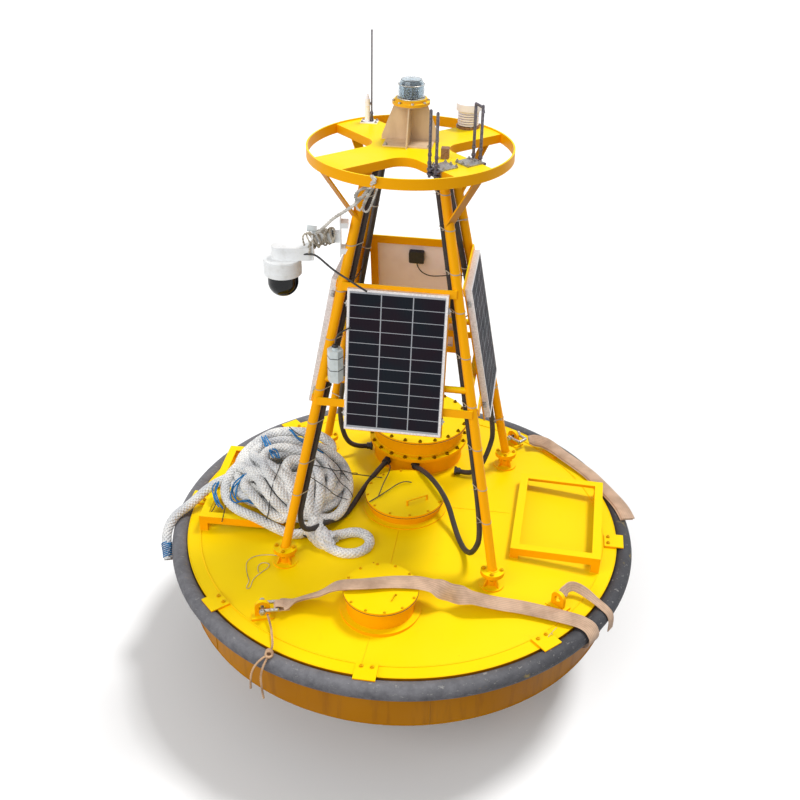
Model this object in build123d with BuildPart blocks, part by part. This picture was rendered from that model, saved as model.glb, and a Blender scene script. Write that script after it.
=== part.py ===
from build123d import *

import os
from math import atan, cos, degrees, hypot, radians, sin, sqrt, tan

# Navigation buoy: a steel discus hull that stands on its flat bottom, with a four-legged pipe tower.
# Millimetres, +Z up. The origin is the middle of the flat bottom, -Y is the front, +X the right.

# Driving dimensions
HULL_R = 1200.0  # the hull's side
SIDE_H = 320.0  # the side's height, from the chine to the deck edge
DECK_Z = 780.0  # the deck edge
BOTTOM_R = 520.0  # the flat bottom
RIM_R = 1130.0  # the flat margin of the deck starts here
CROWN = 50.0  # the deck's rise from the margin to the middle
BALL_R = (RIM_R**2 + CROWN**2) / (2 * CROWN)  # the sphere that the crowned deck is part of
BALL_Z = DECK_Z + CROWN - BALL_R

FENDER_R = 1244.0  # the fender ring, to the middle of its tube
FENDER_T = 46.0  # the tube's radius
FENDER_Z = DECK_Z - 41.0

TOWER = (-8.0, 62.0)  # the tower's axis on the deck
FOOT_R = 777.0  # the tower's feet, from its axis
FOOT_Z = DECK_Z + 114.0  # the joint between each foot's two flanges
HEAD_R = 238.3  # the legs' axes, from the tower's axis at HEAD_Z
HEAD_Z = DECK_Z + 2110.0
LEG_T = 24.15
FLANGE_R = 62.0
FLANGE_H = 12.0

RING_R = 487.0  # the top ring's outer face
RING_T = 8.0
RING_H = 50.0
RING_Z = DECK_Z + 2159.0  # the ring's upper edge
TABLE_Z = RING_Z - 6.0  # the platform's upper face
TABLE_T = 6.0
ARM_W = 208.0  # each arm of the platform

BRACE_Z = DECK_Z + 1072.0  # the lower cross tubes
BRACE_T = 17.0
PANEL_W = 481.0
PANEL_L = 714.0
PANEL_T = 30.0
PANEL_Z = DECK_Z + 1194.0  # the panels' middles
BACK_OFF = 32.0  # from the plane of two legs to a panel's back

MAST_XY = (-12.0, 74.0)  # the lantern's axis on the platform

LEG_ANGLES = {"front_left": 225, "front_right": 315, "back_right": 45, "back_left": 135}
SIDE_ANGLES = {"front": 270, "right": 0, "back": 90, "left": 180}

LEAN = (FOOT_R - HEAD_R) / sqrt(2) / (HEAD_Z - FOOT_Z)  # inwards per unit of height, on a tower face
LEAN_ANGLE = degrees(atan(LEAN))


STANDING = (Align.CENTER, Align.CENTER, Align.MIN)  # a solid that stands on its plane


def deck_height(r):
    """The deck's height at that distance from the axis."""
    return DECK_Z if r >= RIM_R else BALL_Z + sqrt(BALL_R**2 - r**2)


def leg_half(z):
    """How far the legs' axes are from the two middle planes at that height."""
    return FOOT_R / sqrt(2) - LEAN * (z - FOOT_Z)


def leg_point(angle, z):
    """The point of a leg's axis at that height."""
    r = leg_half(z) * sqrt(2)
    return Vector(r * cos(radians(angle)), r * sin(radians(angle)), z)


def face_plane(angle, z, off):
    """A plane parallel to a tower face, its X to the right and its Y up along the face."""
    out = Vector(cos(radians(angle)), sin(radians(angle)), 0)
    across = Vector(-sin(radians(angle)), cos(radians(angle)), 0)
    normal = out * cos(radians(LEAN_ANGLE)) + Vector(0, 0, sin(radians(LEAN_ANGLE)))
    return Plane(origin=out * leg_half(z) + Vector(0, 0, z) + normal * off, x_dir=across, z_dir=normal)


def polar(r, angle, z=0.0):
    """A point at that distance from the axis and at that angle."""
    return Vector(r * cos(radians(angle)), r * sin(radians(angle)), z)


def rod(start, end, radius):
    """Adds a round bar between two points to the part being built."""
    run = Vector(end) - Vector(start)
    with Locations(Plane(origin=start, z_dir=run)):
        Cylinder(radius, run.length, align=STANDING)


def disc(x, y, z, radius, height):
    """Adds an upright disc, z its lower face, to the part being built."""
    with Locations((x, y, z)):
        Cylinder(radius, height, align=STANDING)


def disc_hole(x, y, z, radius, height):
    """Cuts an upright round hole from the part being built."""
    with Locations((x, y, z)):
        Cylinder(radius, height, align=STANDING, mode=Mode.SUBTRACT)


def block(plane, width, depth, height):
    """Adds a block that stands on a plane, centred on its origin, to the part being built."""
    with Locations(plane):
        Box(width, depth, height, align=STANDING)


def trim_to_deck(base=(0.0, 0.0)):
    """Cuts the crowned deck's sphere from the part being built, so that it sits on the deck; base is where the
    part's own origin goes on the hull."""
    with Locations((-base[0], -base[1], BALL_Z)):
        Sphere(BALL_R, mode=Mode.SUBTRACT)


def strap(route, width, thick):
    """Adds a flat band along a route, a slab for each run, to the part being built."""
    for start, end in zip(route[:-1], route[1:]):
        run = Vector(*end) - Vector(*start)
        side = Vector(0, 0, 1).cross(run)
        middle = (Vector(*start) + Vector(*end)) * 0.5
        with Locations(Plane(origin=middle, x_dir=run, z_dir=run.cross(side))):
            Box(run.length + thick, width, thick)


def tube(route, radius, name):
    """A tube of straight runs and tangent arcs along a route."""
    points = [Vector(*p) for p in route]
    radii = []
    for before, at, after in zip(points[:-2], points[1:-1], points[2:]):
        turn = (at - before).get_angle(after - at)
        shorter = min((at - before).length, (after - at).length)
        radii.append(0.45 * shorter / tan(radians(turn / 2)))
    print(name, "length", round(sum((b - a).length for a, b in zip(points[:-1], points[1:]))),
          "radii", [round(r) for r in radii])
    with BuildPart() as made:
        with BuildLine():
            path = FilletPolyline(*points, radius=radii)
        with BuildSketch(Plane(origin=path @ 0, z_dir=path % 0)):
            Circle(radius)
        sweep(path=path)
    return made


def finish(made, name, base=(0.0, 0.0)):
    """Labels a finished piece, puts its origin at base and writes it."""
    piece = made.part.moved(Location((base[0], base[1], 0)))
    piece.label = name
    export_step(piece, f"parts/{name}.step")


def hull():
    """The hull: a flat bottom, a cone, an upright side and a crowned deck with a flat margin."""
    with BuildPart() as made:
        with BuildSketch(Plane.XZ):
            with BuildLine():
                Polyline((0, 0), (BOTTOM_R, 0), (HULL_R, DECK_Z - SIDE_H), (HULL_R, DECK_Z), (RIM_R, DECK_Z))
                middle_r = RIM_R / 2
                ThreePointArc((RIM_R, DECK_Z), (middle_r, deck_height(middle_r)), (0, DECK_Z + CROWN))
                Line((0, DECK_Z + CROWN), (0, 0))
            make_face()
        revolve(axis=Axis.Z)
    finish(made, "hull")


def fender():
    """The rubber ring round the hull's side, its inner face flat on the steel."""
    with BuildPart() as made:
        with BuildSketch(Plane.XZ):
            with Locations((FENDER_R, FENDER_Z)):
                Circle(FENDER_T)
            with Locations((HULL_R - FENDER_T, FENDER_Z)):
                Rectangle(2 * FENDER_T, 3 * FENDER_T, mode=Mode.SUBTRACT)
        revolve(axis=Axis.Z)
    finish(made, "fender")


def fender_clips():
    """Eight tabs on the deck's margin that reach over the fender."""
    with BuildPart() as made:
        for angle in range(0, 360, 45):
            inner = Plane(origin=polar(1167, angle, DECK_Z), x_dir=polar(1, angle), z_dir=(0, 0, 1))
            block(inner, 66, 110, 13)
            outer = Plane(origin=polar(1216, angle, DECK_Z + 6), x_dir=polar(1, angle), z_dir=(0, 0, 1))
            block(outer, 44, 110, 7)
    finish(made, "fender_clips")


PADEYE_R = 1060.0
PADEYES = [(57, -38), (147, 16), (237, 16), (327, -38)]  # each one's angle on the deck and its plate's direction
PADEYE_HOLE = 18.0
PADEYE_HOLE_Z = DECK_Z + 62.0


def lifting_eyes():
    """Four padeyes, each a rounded plate with a hole, on a doubler."""
    with BuildPart() as made:
        for angle, turn in PADEYES:
            foot = Plane(origin=polar(PADEYE_R, angle, DECK_Z - 4), x_dir=polar(1, turn), z_dir=(0, 0, 1))
            block(foot, 110, 70, 18)
            upright = Plane(origin=polar(PADEYE_R, angle), x_dir=polar(1, turn), z_dir=polar(1, turn - 90))
            with BuildSketch(upright):
                with Locations((0, PADEYE_HOLE_Z)):
                    Circle(38)
                with Locations((0, (PADEYE_HOLE_Z + DECK_Z) / 2)):
                    Rectangle(76, PADEYE_HOLE_Z - DECK_Z)
            extrude(amount=10, both=True)
            with BuildSketch(upright):
                with Locations((0, PADEYE_HOLE_Z)):
                    Circle(PADEYE_HOLE)
            extrude(amount=20, both=True, mode=Mode.SUBTRACT)
        trim_to_deck()
    finish(made, "lifting_eyes")


KEEL_EYE_R = 860.0
KEEL_EYE_Z = 118.0


def mooring_eyes():
    """Three eye plates for the mooring bridle, welded below the cone."""
    slope = (DECK_Z - SIDE_H) / (HULL_R - BOTTOM_R)
    with BuildPart() as made:
        for angle in (90, 210, 330):
            with BuildSketch(Plane(origin=(0, 0, 0), x_dir=polar(1, angle), z_dir=polar(1, angle - 90))):
                with BuildLine():
                    Polyline(
                        (KEEL_EYE_R - 90, slope * (KEEL_EYE_R - 90 - BOTTOM_R)),
                        (KEEL_EYE_R - 40, KEEL_EYE_Z - 40),
                        (KEEL_EYE_R + 40, KEEL_EYE_Z - 40),
                        (KEEL_EYE_R + 90, slope * (KEEL_EYE_R + 90 - BOTTOM_R)),
                        close=True,
                    )
                make_face()
                with Locations((KEEL_EYE_R, KEEL_EYE_Z)):
                    Circle(21, mode=Mode.SUBTRACT)
            extrude(amount=14, both=True)
    finish(made, "mooring_eyes")


# Each hatch: its name, its middle, the coaming's radius, the coaming's height over the deck, the lid's
# radius and thickness
FRONT_HATCH = ("front_hatch", 0.0, -750.0, 172.0, 110.0, 190.0, 12.0)
MID_HATCH = ("mid_hatch", 0.0, 90.0, 205.0, 64.0, 225.0, 14.0)
MAIN_XY = (0.0, 655.0)
MAIN_R = 268.0  # the drums of the main hatch
MAIN_FLANGE_R = 296.0
MAIN_SEAM_Z = DECK_Z + 160.0
MAIN_TOP_Z = DECK_Z + 280.0


def deck_hatch(name, x, y, radius, height, lid_radius, lid_thick):
    """A round coaming with a flange, and the lid bolted on it."""
    top = deck_height(hypot(x, y)) + height
    with BuildPart() as coaming:
        disc(x, y, DECK_Z - 10, radius, top - DECK_Z + 10)
        disc(x, y, DECK_Z - 10, radius + 34, deck_height(hypot(x, y)) - DECK_Z + 15)
        disc(x, y, top - 10, lid_radius, 10)
        disc_hole(x, y, DECK_Z - 20, radius - 8, top - DECK_Z + 30)
        trim_to_deck()
    finish(coaming, f"{name}_coaming")
    with BuildPart() as lid:
        disc(x, y, top, lid_radius, lid_thick)
        if name == "mid_hatch":
            lid_handle(top + lid_thick)
    finish(lid, f"{name}_lid")


def lid_handle(top):
    """Adds the bent rod that lifts the middle hatch's lid to the part being built."""
    across = polar(1, 36)
    middle = Vector(80, 10, top)
    ends = [middle + across * 62, middle - across * 62]
    for end in ends:
        rod(end - Vector(0, 0, 2), end + Vector(0, 0, 32), 6)
        with Locations(end + Vector(0, 0, 32)):
            Sphere(6)
    rod(ends[0] + Vector(0, 0, 32), ends[1] + Vector(0, 0, 32), 6)


def main_hatch():
    """Two stacked drums with a bolted flange between them, and a bolted lid."""
    x, y = MAIN_XY
    with BuildPart() as base:
        disc(x, y, DECK_Z - 10, MAIN_R, MAIN_SEAM_Z - DECK_Z + 10)
        disc(x, y, MAIN_SEAM_Z - 10, MAIN_FLANGE_R, 10)
        trim_to_deck()
    finish(base, "main_hatch_base")
    with BuildPart() as riser:
        disc(x, y, MAIN_SEAM_Z, MAIN_FLANGE_R, 10)
        disc(x, y, MAIN_SEAM_Z, MAIN_R, MAIN_TOP_Z - MAIN_SEAM_Z)
        disc(x, y, MAIN_TOP_Z - 10, MAIN_FLANGE_R, 10)
    finish(riser, "main_hatch_riser")
    with BuildPart() as lid:
        disc(x, y, MAIN_TOP_Z, MAIN_FLANGE_R, 12)
    finish(lid, "main_hatch_lid")


FRAME_XY = (873.0, 78.0)  # the right frame's middle; the left one mirrors it
FRAME_W = 478.0
FRAME_L = 705.0
FRAME_TURN = 2.0  # degrees, each frame's outer end towards the front
FRAME_TOP = DECK_Z + 99.0
FRAME_BAR = 45.0


def side_frame(side, name):
    """A raised rectangular frame of angle bar on four posts; side is 1 for the right, -1 for the left."""
    place = Location((side * FRAME_XY[0], FRAME_XY[1], 0), (0, 0, -side * FRAME_TURN))
    with BuildPart() as made:
        with BuildSketch(Plane.XY.offset(FRAME_TOP - 6)):
            with Locations(place):
                Rectangle(FRAME_W, FRAME_L)
                Rectangle(FRAME_W - 2 * FRAME_BAR, FRAME_L - 2 * FRAME_BAR, mode=Mode.SUBTRACT)
        extrude(amount=6)
        with BuildSketch(Plane.XY.offset(FRAME_TOP - FRAME_BAR)):
            with Locations(place):
                Rectangle(FRAME_W, FRAME_L)
                Rectangle(FRAME_W - 12, FRAME_L - 12, mode=Mode.SUBTRACT)
        extrude(amount=FRAME_BAR - 6)
        with BuildSketch(Plane.XY.offset(DECK_Z - 10)):
            with Locations(place):
                with GridLocations(FRAME_W - FRAME_BAR, FRAME_L - FRAME_BAR, 2, 2):
                    Rectangle(FRAME_BAR, FRAME_BAR)
        extrude(amount=FRAME_TOP - DECK_Z + 4)
        trim_to_deck()
        with BuildSketch(Plane.XY.offset(DECK_Z - 20)):
            Circle(HULL_R + 10)
        extrude(amount=20, mode=Mode.SUBTRACT)
    finish(made, name)


def leg_sockets():
    """The four feet on the deck: a doubler, a stub of pipe with gussets and a flange each."""
    with BuildPart() as made:
        for angle in LEG_ANGLES.values():
            x, y, _ = polar(FOOT_R, angle)
            disc(x, y, DECK_Z, 66, 34)
            disc(x, y, DECK_Z, 30, FOOT_Z - DECK_Z)
            disc(x, y, FOOT_Z - FLANGE_H, FLANGE_R, FLANGE_H)
            for turn in (0, 90, 180, 270):
                out = polar(1, angle + turn)
                with BuildSketch(Plane(origin=(x, y, 0), x_dir=out, z_dir=polar(1, angle + turn - 90))):
                    with BuildLine():
                        Polyline((20, DECK_Z + 28), (60, DECK_Z + 28), (24, FOOT_Z - 14), (20, FOOT_Z - 14),
                                 close=True)
                    make_face()
                extrude(amount=3, both=True)
        trim_to_deck(TOWER)
    finish(made, "leg_sockets", TOWER)


def leg(name, angle):
    """A tower leg with its foot flange, cut level at both ends."""
    with BuildPart() as made:
        rod(leg_point(angle, FOOT_Z - 60), leg_point(angle, TABLE_Z + 60), LEG_T)
        split(bisect_by=Plane.XY.offset(FOOT_Z), keep=Keep.TOP)
        split(bisect_by=Plane.XY.offset(TABLE_Z - TABLE_T), keep=Keep.BOTTOM)
        x, y, _ = polar(FOOT_R, angle)
        disc(x, y, FOOT_Z, FLANGE_R, FLANGE_H)
    finish(made, f"leg_{name}", TOWER)


def cut_legs():
    """Cuts the four legs' pipes from the part being built."""
    for angle in LEG_ANGLES.values():
        start, end = leg_point(angle, FOOT_Z - 60), leg_point(angle, TABLE_Z + 60)
        with Locations(Plane(origin=start, z_dir=end - start)):
            Cylinder(LEG_T, (end - start).length, align=STANDING, mode=Mode.SUBTRACT)


def cross_tubes():
    """Four level tubes between the legs, below the panels' middles."""
    with BuildPart() as made:
        corners = [leg_point(angle, BRACE_Z) for angle in (225, 315, 45, 135, 225)]
        for start, end in zip(corners[:-1], corners[1:]):
            rod(start, end, BRACE_T)
        cut_legs()
    finish(made, "cross_tubes", TOWER)


def panel_frames():
    """For each panel a frame of flat bar with a long top bar and two straps to the cross tube."""
    bar = 40.0
    with BuildPart() as made:
        for angle in SIDE_ANGLES.values():
            with BuildSketch(face_plane(angle, PANEL_Z, BACK_OFF - 7)):
                Rectangle(PANEL_W + 10, PANEL_L + 30)
                Rectangle(PANEL_W + 10 - 2 * bar, PANEL_L + 30 - 2 * bar, mode=Mode.SUBTRACT)
                with Locations((0, PANEL_L / 2)):
                    Rectangle(2 * leg_half(PANEL_Z + PANEL_L / 2), bar)
                with Locations((0, -PANEL_L / 2 + 120)):
                    Rectangle(2 * leg_half(PANEL_Z - PANEL_L / 2 + 120), bar)
            extrude(amount=7)
    finish(made, "panel_frames", TOWER)


def solar_panel(name, angle):
    """A panel: an alloy frame round a recessed laminate, open at the back."""
    with BuildPart() as made:
        with BuildSketch(face_plane(angle, PANEL_Z, BACK_OFF)):
            Rectangle(PANEL_W, PANEL_L)
        extrude(amount=PANEL_T)
        with BuildSketch(face_plane(angle, PANEL_Z, BACK_OFF + PANEL_T)):
            Rectangle(PANEL_W - 22, PANEL_L - 22)
        extrude(amount=-2, mode=Mode.SUBTRACT)
        with BuildSketch(face_plane(angle, PANEL_Z, BACK_OFF)):
            Rectangle(PANEL_W - 44, PANEL_L - 44)
        extrude(amount=PANEL_T - 8, mode=Mode.SUBTRACT)
    finish(made, f"solar_panel_{name}", TOWER)


def junction_boxes():
    """The black box on each panel's back."""
    with BuildPart() as made:
        for angle in SIDE_ANGLES.values():
            place = face_plane(angle, PANEL_Z, BACK_OFF + PANEL_T - 8)
            with BuildSketch(place):
                with Locations((0, PANEL_L / 2 - 105)):
                    RectangleRounded(80, 70, 8)
            extrude(amount=-28)
    finish(made, "junction_boxes", TOWER)


def top_ring():
    """The guard ring round the platform, a band on edge."""
    with BuildPart() as made:
        with BuildSketch(Plane.XY.offset(RING_Z - RING_H)):
            Circle(RING_R)
            Circle(RING_R - RING_T, mode=Mode.SUBTRACT)
        extrude(amount=RING_H)
    finish(made, "top_ring", TOWER)


def platform_outline(inset):
    """Draws the platform's cross with its round inner corners, drawn in by inset."""
    arm = ARM_W - 2 * inset
    with BuildSketch(mode=Mode.PRIVATE) as cross:
        Rectangle(2 * RING_R, arm, rotation=45)
        Rectangle(2 * RING_R, arm, rotation=-45)
        inner = [v for v in cross.vertices() if hypot(v.X, v.Y) < ARM_W]
        fillet(inner, 88 + inset)
        Circle(RING_R - RING_T - inset, mode=Mode.INTERSECT)
    return cross.sketch


def platform():
    """The four-armed platform with its edges folded down."""
    with BuildPart() as made:
        with BuildSketch(Plane.XY.offset(TABLE_Z - RING_H + 8)):
            add(platform_outline(0))
        extrude(amount=RING_H - 8)
        with BuildSketch(Plane.XY.offset(TABLE_Z - RING_H + 8)):
            add(platform_outline(TABLE_T))
        extrude(amount=RING_H - 8 - TABLE_T, mode=Mode.SUBTRACT)
    finish(made, "platform", TOWER)


def ring_struts():
    """A flat strut from each leg out to the ring."""
    with BuildPart() as made:
        for angle in LEG_ANGLES.values():
            low = leg_point(angle, DECK_Z + 1857)
            high = polar(RING_R - RING_T / 2 - 2, angle, RING_Z - RING_H)
            run = high - low
            with BuildSketch(Plane(origin=low, x_dir=polar(1, angle - 90), z_dir=run)):
                Rectangle(50, 8)
            extrude(amount=run.length + 20)
        split(bisect_by=Plane.XY.offset(RING_Z - RING_H), keep=Keep.BOTTOM)
        cut_legs()
    finish(made, "ring_struts", TOWER)


def pedestal():
    """The lantern's stand: four tapered fins between a foot plate and a head plate."""
    x, y = MAST_XY
    foot, head = TABLE_Z, TABLE_Z + 176
    with BuildPart() as made:
        block(Plane(origin=(x, y, foot)), 230, 230, 6)
        disc(x, y, head - 6, 78, 6)
        for angle in (0, 90, 180, 270):
            out = polar(1, angle)
            with BuildSketch(Plane(origin=(x, y, 0), x_dir=out, z_dir=polar(1, angle - 90))):
                with BuildLine():
                    Polyline((0, foot), (137, foot), (137, foot + 20), (76, head), (0, head), close=True)
                make_face()
            extrude(amount=3, both=True)
    finish(made, "lantern_pedestal", TOWER)


LANTERN_Z = TABLE_Z + 176


def lantern():
    """The lantern: its base, its ribbed lens and the light source inside."""
    x, y = MAST_XY
    with BuildPart() as base:
        disc(x, y, LANTERN_Z, 88, 13)
        disc(x, y, LANTERN_Z + 13, 74, 13)
    finish(base, "lantern_base", TOWER)
    with BuildPart() as lens:
        with BuildSketch(Plane(origin=(x, y, 0), x_dir=(1, 0, 0), z_dir=(0, -1, 0))):
            with BuildLine():
                foot = LANTERN_Z + 26
                Polyline((57, foot), (61, foot), (61, foot + 62))
                Line((61, foot + 62), (48, foot + 84))
                Polyline((48, foot + 84), (0, foot + 90), (0, foot + 85), (45, foot + 80), (57, foot + 60))
                Line((57, foot + 60), (57, foot))
            make_face()
        revolve(axis=Axis(origin=(x, y, 0), direction=(0, 0, 1)))
    finish(lens, "lantern_lens", TOWER)
    with BuildPart() as source:
        disc(x, y, LANTERN_Z + 26, 30, 56)
        disc(x, y, LANTERN_Z + 26, 44, 8)
    finish(source, "lantern_source", TOWER)


WHIP_XY = (-262.0, 326.0)
WHIP_ASIDE = 21.0  # the rod stands beside the white base


def whip_antenna():
    """The whip: a white base on a plate and, beside it, a long thin rod in its holder."""
    x, y = WHIP_XY
    with BuildPart() as base:
        block(Plane(origin=(x + 10, y, TABLE_Z)), 84, 56, 5)
        disc(x, y, TABLE_Z + 5, 13, 112)
        disc(x, y, TABLE_Z + 117, 9, 12)
    finish(base, "whip_base", TOWER)
    with BuildPart() as whip:
        disc(x + WHIP_ASIDE, y, TABLE_Z + 5, 7, 46)
        disc(x + WHIP_ASIDE, y, TABLE_Z + 51, 4, 388)
    finish(whip, "whip_rod", TOWER)


def radiation_shield():
    """The weather sensor's louvred screen: a stack of plates on a foot."""
    x, y = 236.0, 343.0
    with BuildPart() as foot:
        disc(x, y, TABLE_Z, 58, 12)
    finish(foot, "screen_foot", TOWER)
    with BuildPart() as made:
        disc(x, y, TABLE_Z + 12, 30, 80)
        for step in range(6):
            disc(x, y, TABLE_Z + 16 + step * 12, 52, 5)
        disc(x, y, TABLE_Z + 86, 61, 34)
    finish(made, "weather_screen", TOWER)


# The two pairs of rod aerials stand at the front right arm's two edges: each pair's name, the edge's side and
# how far out along the arm its middle is
AERIALS = [("front", -1, 317.0), ("side", 1, 338.0)]
AERIAL_T = 7.0
AERIAL_GAP = 24.0  # from the pair's middle to each rod
AERIAL_DROP = 46.0  # how far the rods reach below the platform's upper face


def aerials():
    """The clamp plates on the platform's edges and the upright rods that they hold."""
    along, across = polar(1, -45), polar(1, 45)
    with BuildPart() as clamps:
        for _, side, out in AERIALS:
            middle = along * out + across * (side * (ARM_W / 2 + 3))
            block(Plane(origin=middle + Vector(0, 0, TABLE_Z - 40), x_dir=along, z_dir=(0, 0, 1)), 92, 6, 46)
            foot = middle - across * (side * 42) + along * 12
            block(Plane(origin=foot + Vector(0, 0, TABLE_Z), x_dir=along, z_dir=(0, 0, 1)), 92, 90, 6)
    finish(clamps, "aerial_clamps", TOWER)
    with BuildPart() as pairs:
        for _, side, out in AERIALS:
            middle = along * out + across * (side * (ARM_W / 2 + 6 + AERIAL_T))
            for gap in (-AERIAL_GAP, AERIAL_GAP):
                x, y, _ = middle + along * gap
                disc(x, y, TABLE_Z - AERIAL_DROP, AERIAL_T, 250 + AERIAL_DROP)
    finish(pairs, "aerial_rods", TOWER)


def sensor_block():
    """A small sensor on the platform's front right arm."""
    with BuildPart() as made:
        block(Plane(origin=(178, -149, TABLE_Z)), 36, 36, 48)
    finish(made, "sensor_block", TOWER)


# The dome camera hangs from an arm on the front left leg
CAMERA_XY = (-563.0, -288.0)
CAMERA_TOP = DECK_Z + 1667.0
CAMERA_R = 91.0
DOME_R = 74.0
DOME_RIM = 44.0  # the straight part of the dome
ARM_Z = DECK_Z + 1775.0
ARM_ANGLE = 9.0


def camera_arm():
    """The bracket clamped on the leg, its square tube and the plate at the tube's end."""
    along = polar(1, ARM_ANGLE)
    root = leg_point(225, ARM_Z) - along * (LEG_T + 30)
    tip = root - along * 130
    with BuildPart() as made:
        place = Plane(origin=root, x_dir=(0, 0, 1), z_dir=-along)
        block(place, 185, 60, 6)
        block(place, 46, 46, 130)
        for step in (-64, 64):
            clamp = Plane(origin=root + Vector(0, 0, step), x_dir=(0, 0, 1), z_dir=along)
            block(clamp, 26, 60, 34)
        block(Plane(origin=tip + Vector(0, 0, -44), x_dir=(0, 0, 1), z_dir=-along), 128, 80, 8)
        cut_legs()
    finish(made, "camera_arm", TOWER)
    return tip - along * 8


def camera(tip):
    """The camera: its hood on the arm, the drum, the smoked dome and the head that turns in it."""
    x, y = CAMERA_XY
    along = polar(1, ARM_ANGLE)
    with BuildPart() as hood:
        centre = Vector(x, y, CAMERA_TOP + 30)
        reach = (tip - centre).dot(along)
        with BuildSketch(Plane(origin=(x, y, CAMERA_TOP), x_dir=along, z_dir=(0, 0, 1))):
            with Locations((reach / 2 - 15, 0)):
                SlotOverall(reach + 70, 80)
        extrude(amount=62)
        with BuildSketch(Plane(origin=tip, x_dir=(0, 0, 1), z_dir=along)):
            Rectangle(400, 400)
        extrude(amount=200, mode=Mode.SUBTRACT)
    finish(hood, "camera_hood", TOWER)
    with BuildPart() as drum:
        disc(x, y, CAMERA_TOP - 78, CAMERA_R, 78)
        disc_hole(x, y, CAMERA_TOP - 78, DOME_R - 4, 70)
    finish(drum, "camera_drum", TOWER)
    rim = CAMERA_TOP - 78
    with BuildPart() as dome:
        disc(x, y, rim - DOME_RIM, DOME_R, DOME_RIM)
        with Locations((x, y, rim - DOME_RIM)):
            Sphere(DOME_R)
        disc_hole(x, y, rim - DOME_RIM, DOME_R - 3, DOME_RIM + DOME_R)
        with Locations((x, y, rim - DOME_RIM)):
            Sphere(DOME_R - 3, mode=Mode.SUBTRACT)
    finish(dome, "camera_dome", TOWER)
    with BuildPart() as yoke:
        disc(x, y, rim + 20, 50, 20)
        disc(x, y, rim + 40, 20, 29)
        for side in (-1, 1):
            block(Plane(origin=(x + side * 44, y, rim - 44)), 8, 30, 70)
    finish(yoke, "camera_yoke", TOWER)
    with BuildPart() as eye:
        centre = Vector(x, y, rim - 28)
        rod(centre - Vector(33, 0, 0), centre + Vector(33, 0, 0), 32)
        rod(centre - Vector(39.5, 0, 0), centre + Vector(39.5, 0, 0), 8)
        rod(centre, centre + Vector(0, -48, 0), 22)
    finish(eye, "camera_eye", TOWER)


CASE_XY = (-290.0, -407.0)
CASE_Z = DECK_Z + 1091.0
CASE_H = 172.0


def junction_case():
    """The upright weatherproof case tied to the front left leg."""
    with BuildPart() as made:
        with BuildSketch(Plane.XY.offset(CASE_Z)):
            with Locations(CASE_XY):
                RegularPolygon(39, 6)
        extrude(amount=CASE_H)
        disc(*CASE_XY, CASE_Z + CASE_H, 14, 14)
    finish(made, "junction_case", TOWER)


def at_deck(points):
    """Lifts a route given as (x, y, height over the deck edge's plane), in millimetres."""
    return [(x, y, z + DECK_Z) for x, y, z in points]


def beside_leg(angle, away, heights):
    """Points beside a leg at those heights over the deck edge."""
    made = []
    for z in heights:
        p = leg_point(angle, DECK_Z + z)
        made.append((TOWER[0] + p.X + away[0], TOWER[1] + p.Y + away[1], z))
    return made


CONDUIT_T = 15.0


# The conduits' routes: x, y and the height over the deck edge's plane
CONDUIT_ROUTES = {
    "front_right": beside_leg(315, (-35, 35), (2090, 290)) + [
        (430, -385, 130), (385, -290, 60), (340, -200, 64), (300, -105, 96), (262, -20, 150), (205, 90, 168),
        (135, 205, 166), (65, 300, 150), (20, 368, 118)],
    "back_right": beside_leg(45, (-35, -35), (2090, 320)) + [
        (440, 500, 190), (400, 445, 100), (340, 420, 66), (272, 440, 66)],
    "front_left": beside_leg(225, (35, 35), (2090, 350)) + [
        (-486, -415, 300), (-488, -408, 240), (-476, -392, 180), (-442, -345, 143), (-400, -272, 130),
        (-370, -197, 97), (-328, -124, 68), (-298, -50, 67), (-276, 40, 72), (-247, 146, 92), (-200, 285, 110),
        (-160, 380, 120)],
    "back_left": beside_leg(135, (35, -35), (2090, 390)) + [(-440, 520, 170), (-370, 560, 84), (-300, 600, 76)],
}


def conduits():
    """The corrugated conduits from the platform down the legs to the main hatch."""
    for name, route in CONDUIT_ROUTES.items():
        finish(tube(at_deck(route), CONDUIT_T, name), f"conduit_{name}")


HEAP_XY = (-665.0, 35.0)  # the middle of the heap, which hangs over the left frame's inner edge
HEAP_SIZE = (385.0, 310.0)  # its half length and half width
HEAP_H = 258.0
LOBE_XY = (-470.0, 60.0)  # the part that hangs down to the deck beside the frame
LOBE_SIZE = (150.0, 235.0)
ROPE_T = 27.0


def rope_heap():
    """The heap of mooring rope on the left frame, with the lobe that hangs to the deck, as one closed solid."""
    with BuildPart() as made:
        with BuildSketch(Plane.XY.offset(FRAME_TOP + 2)):
            with Locations(HEAP_XY):
                Ellipse(*HEAP_SIZE)
        extrude(amount=HEAP_H, taper=28)
        with BuildSketch(Plane.XY.offset(DECK_Z + 10)):
            with Locations(LOBE_XY):
                Ellipse(*LOBE_SIZE)
        extrude(amount=FRAME_TOP + 100 - DECK_Z, taper=3)
        with Locations((0, 0, BALL_Z)):
            Sphere(BALL_R + 3, mode=Mode.SUBTRACT)
    finish(made, "rope_heap")
    return made.part


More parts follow.
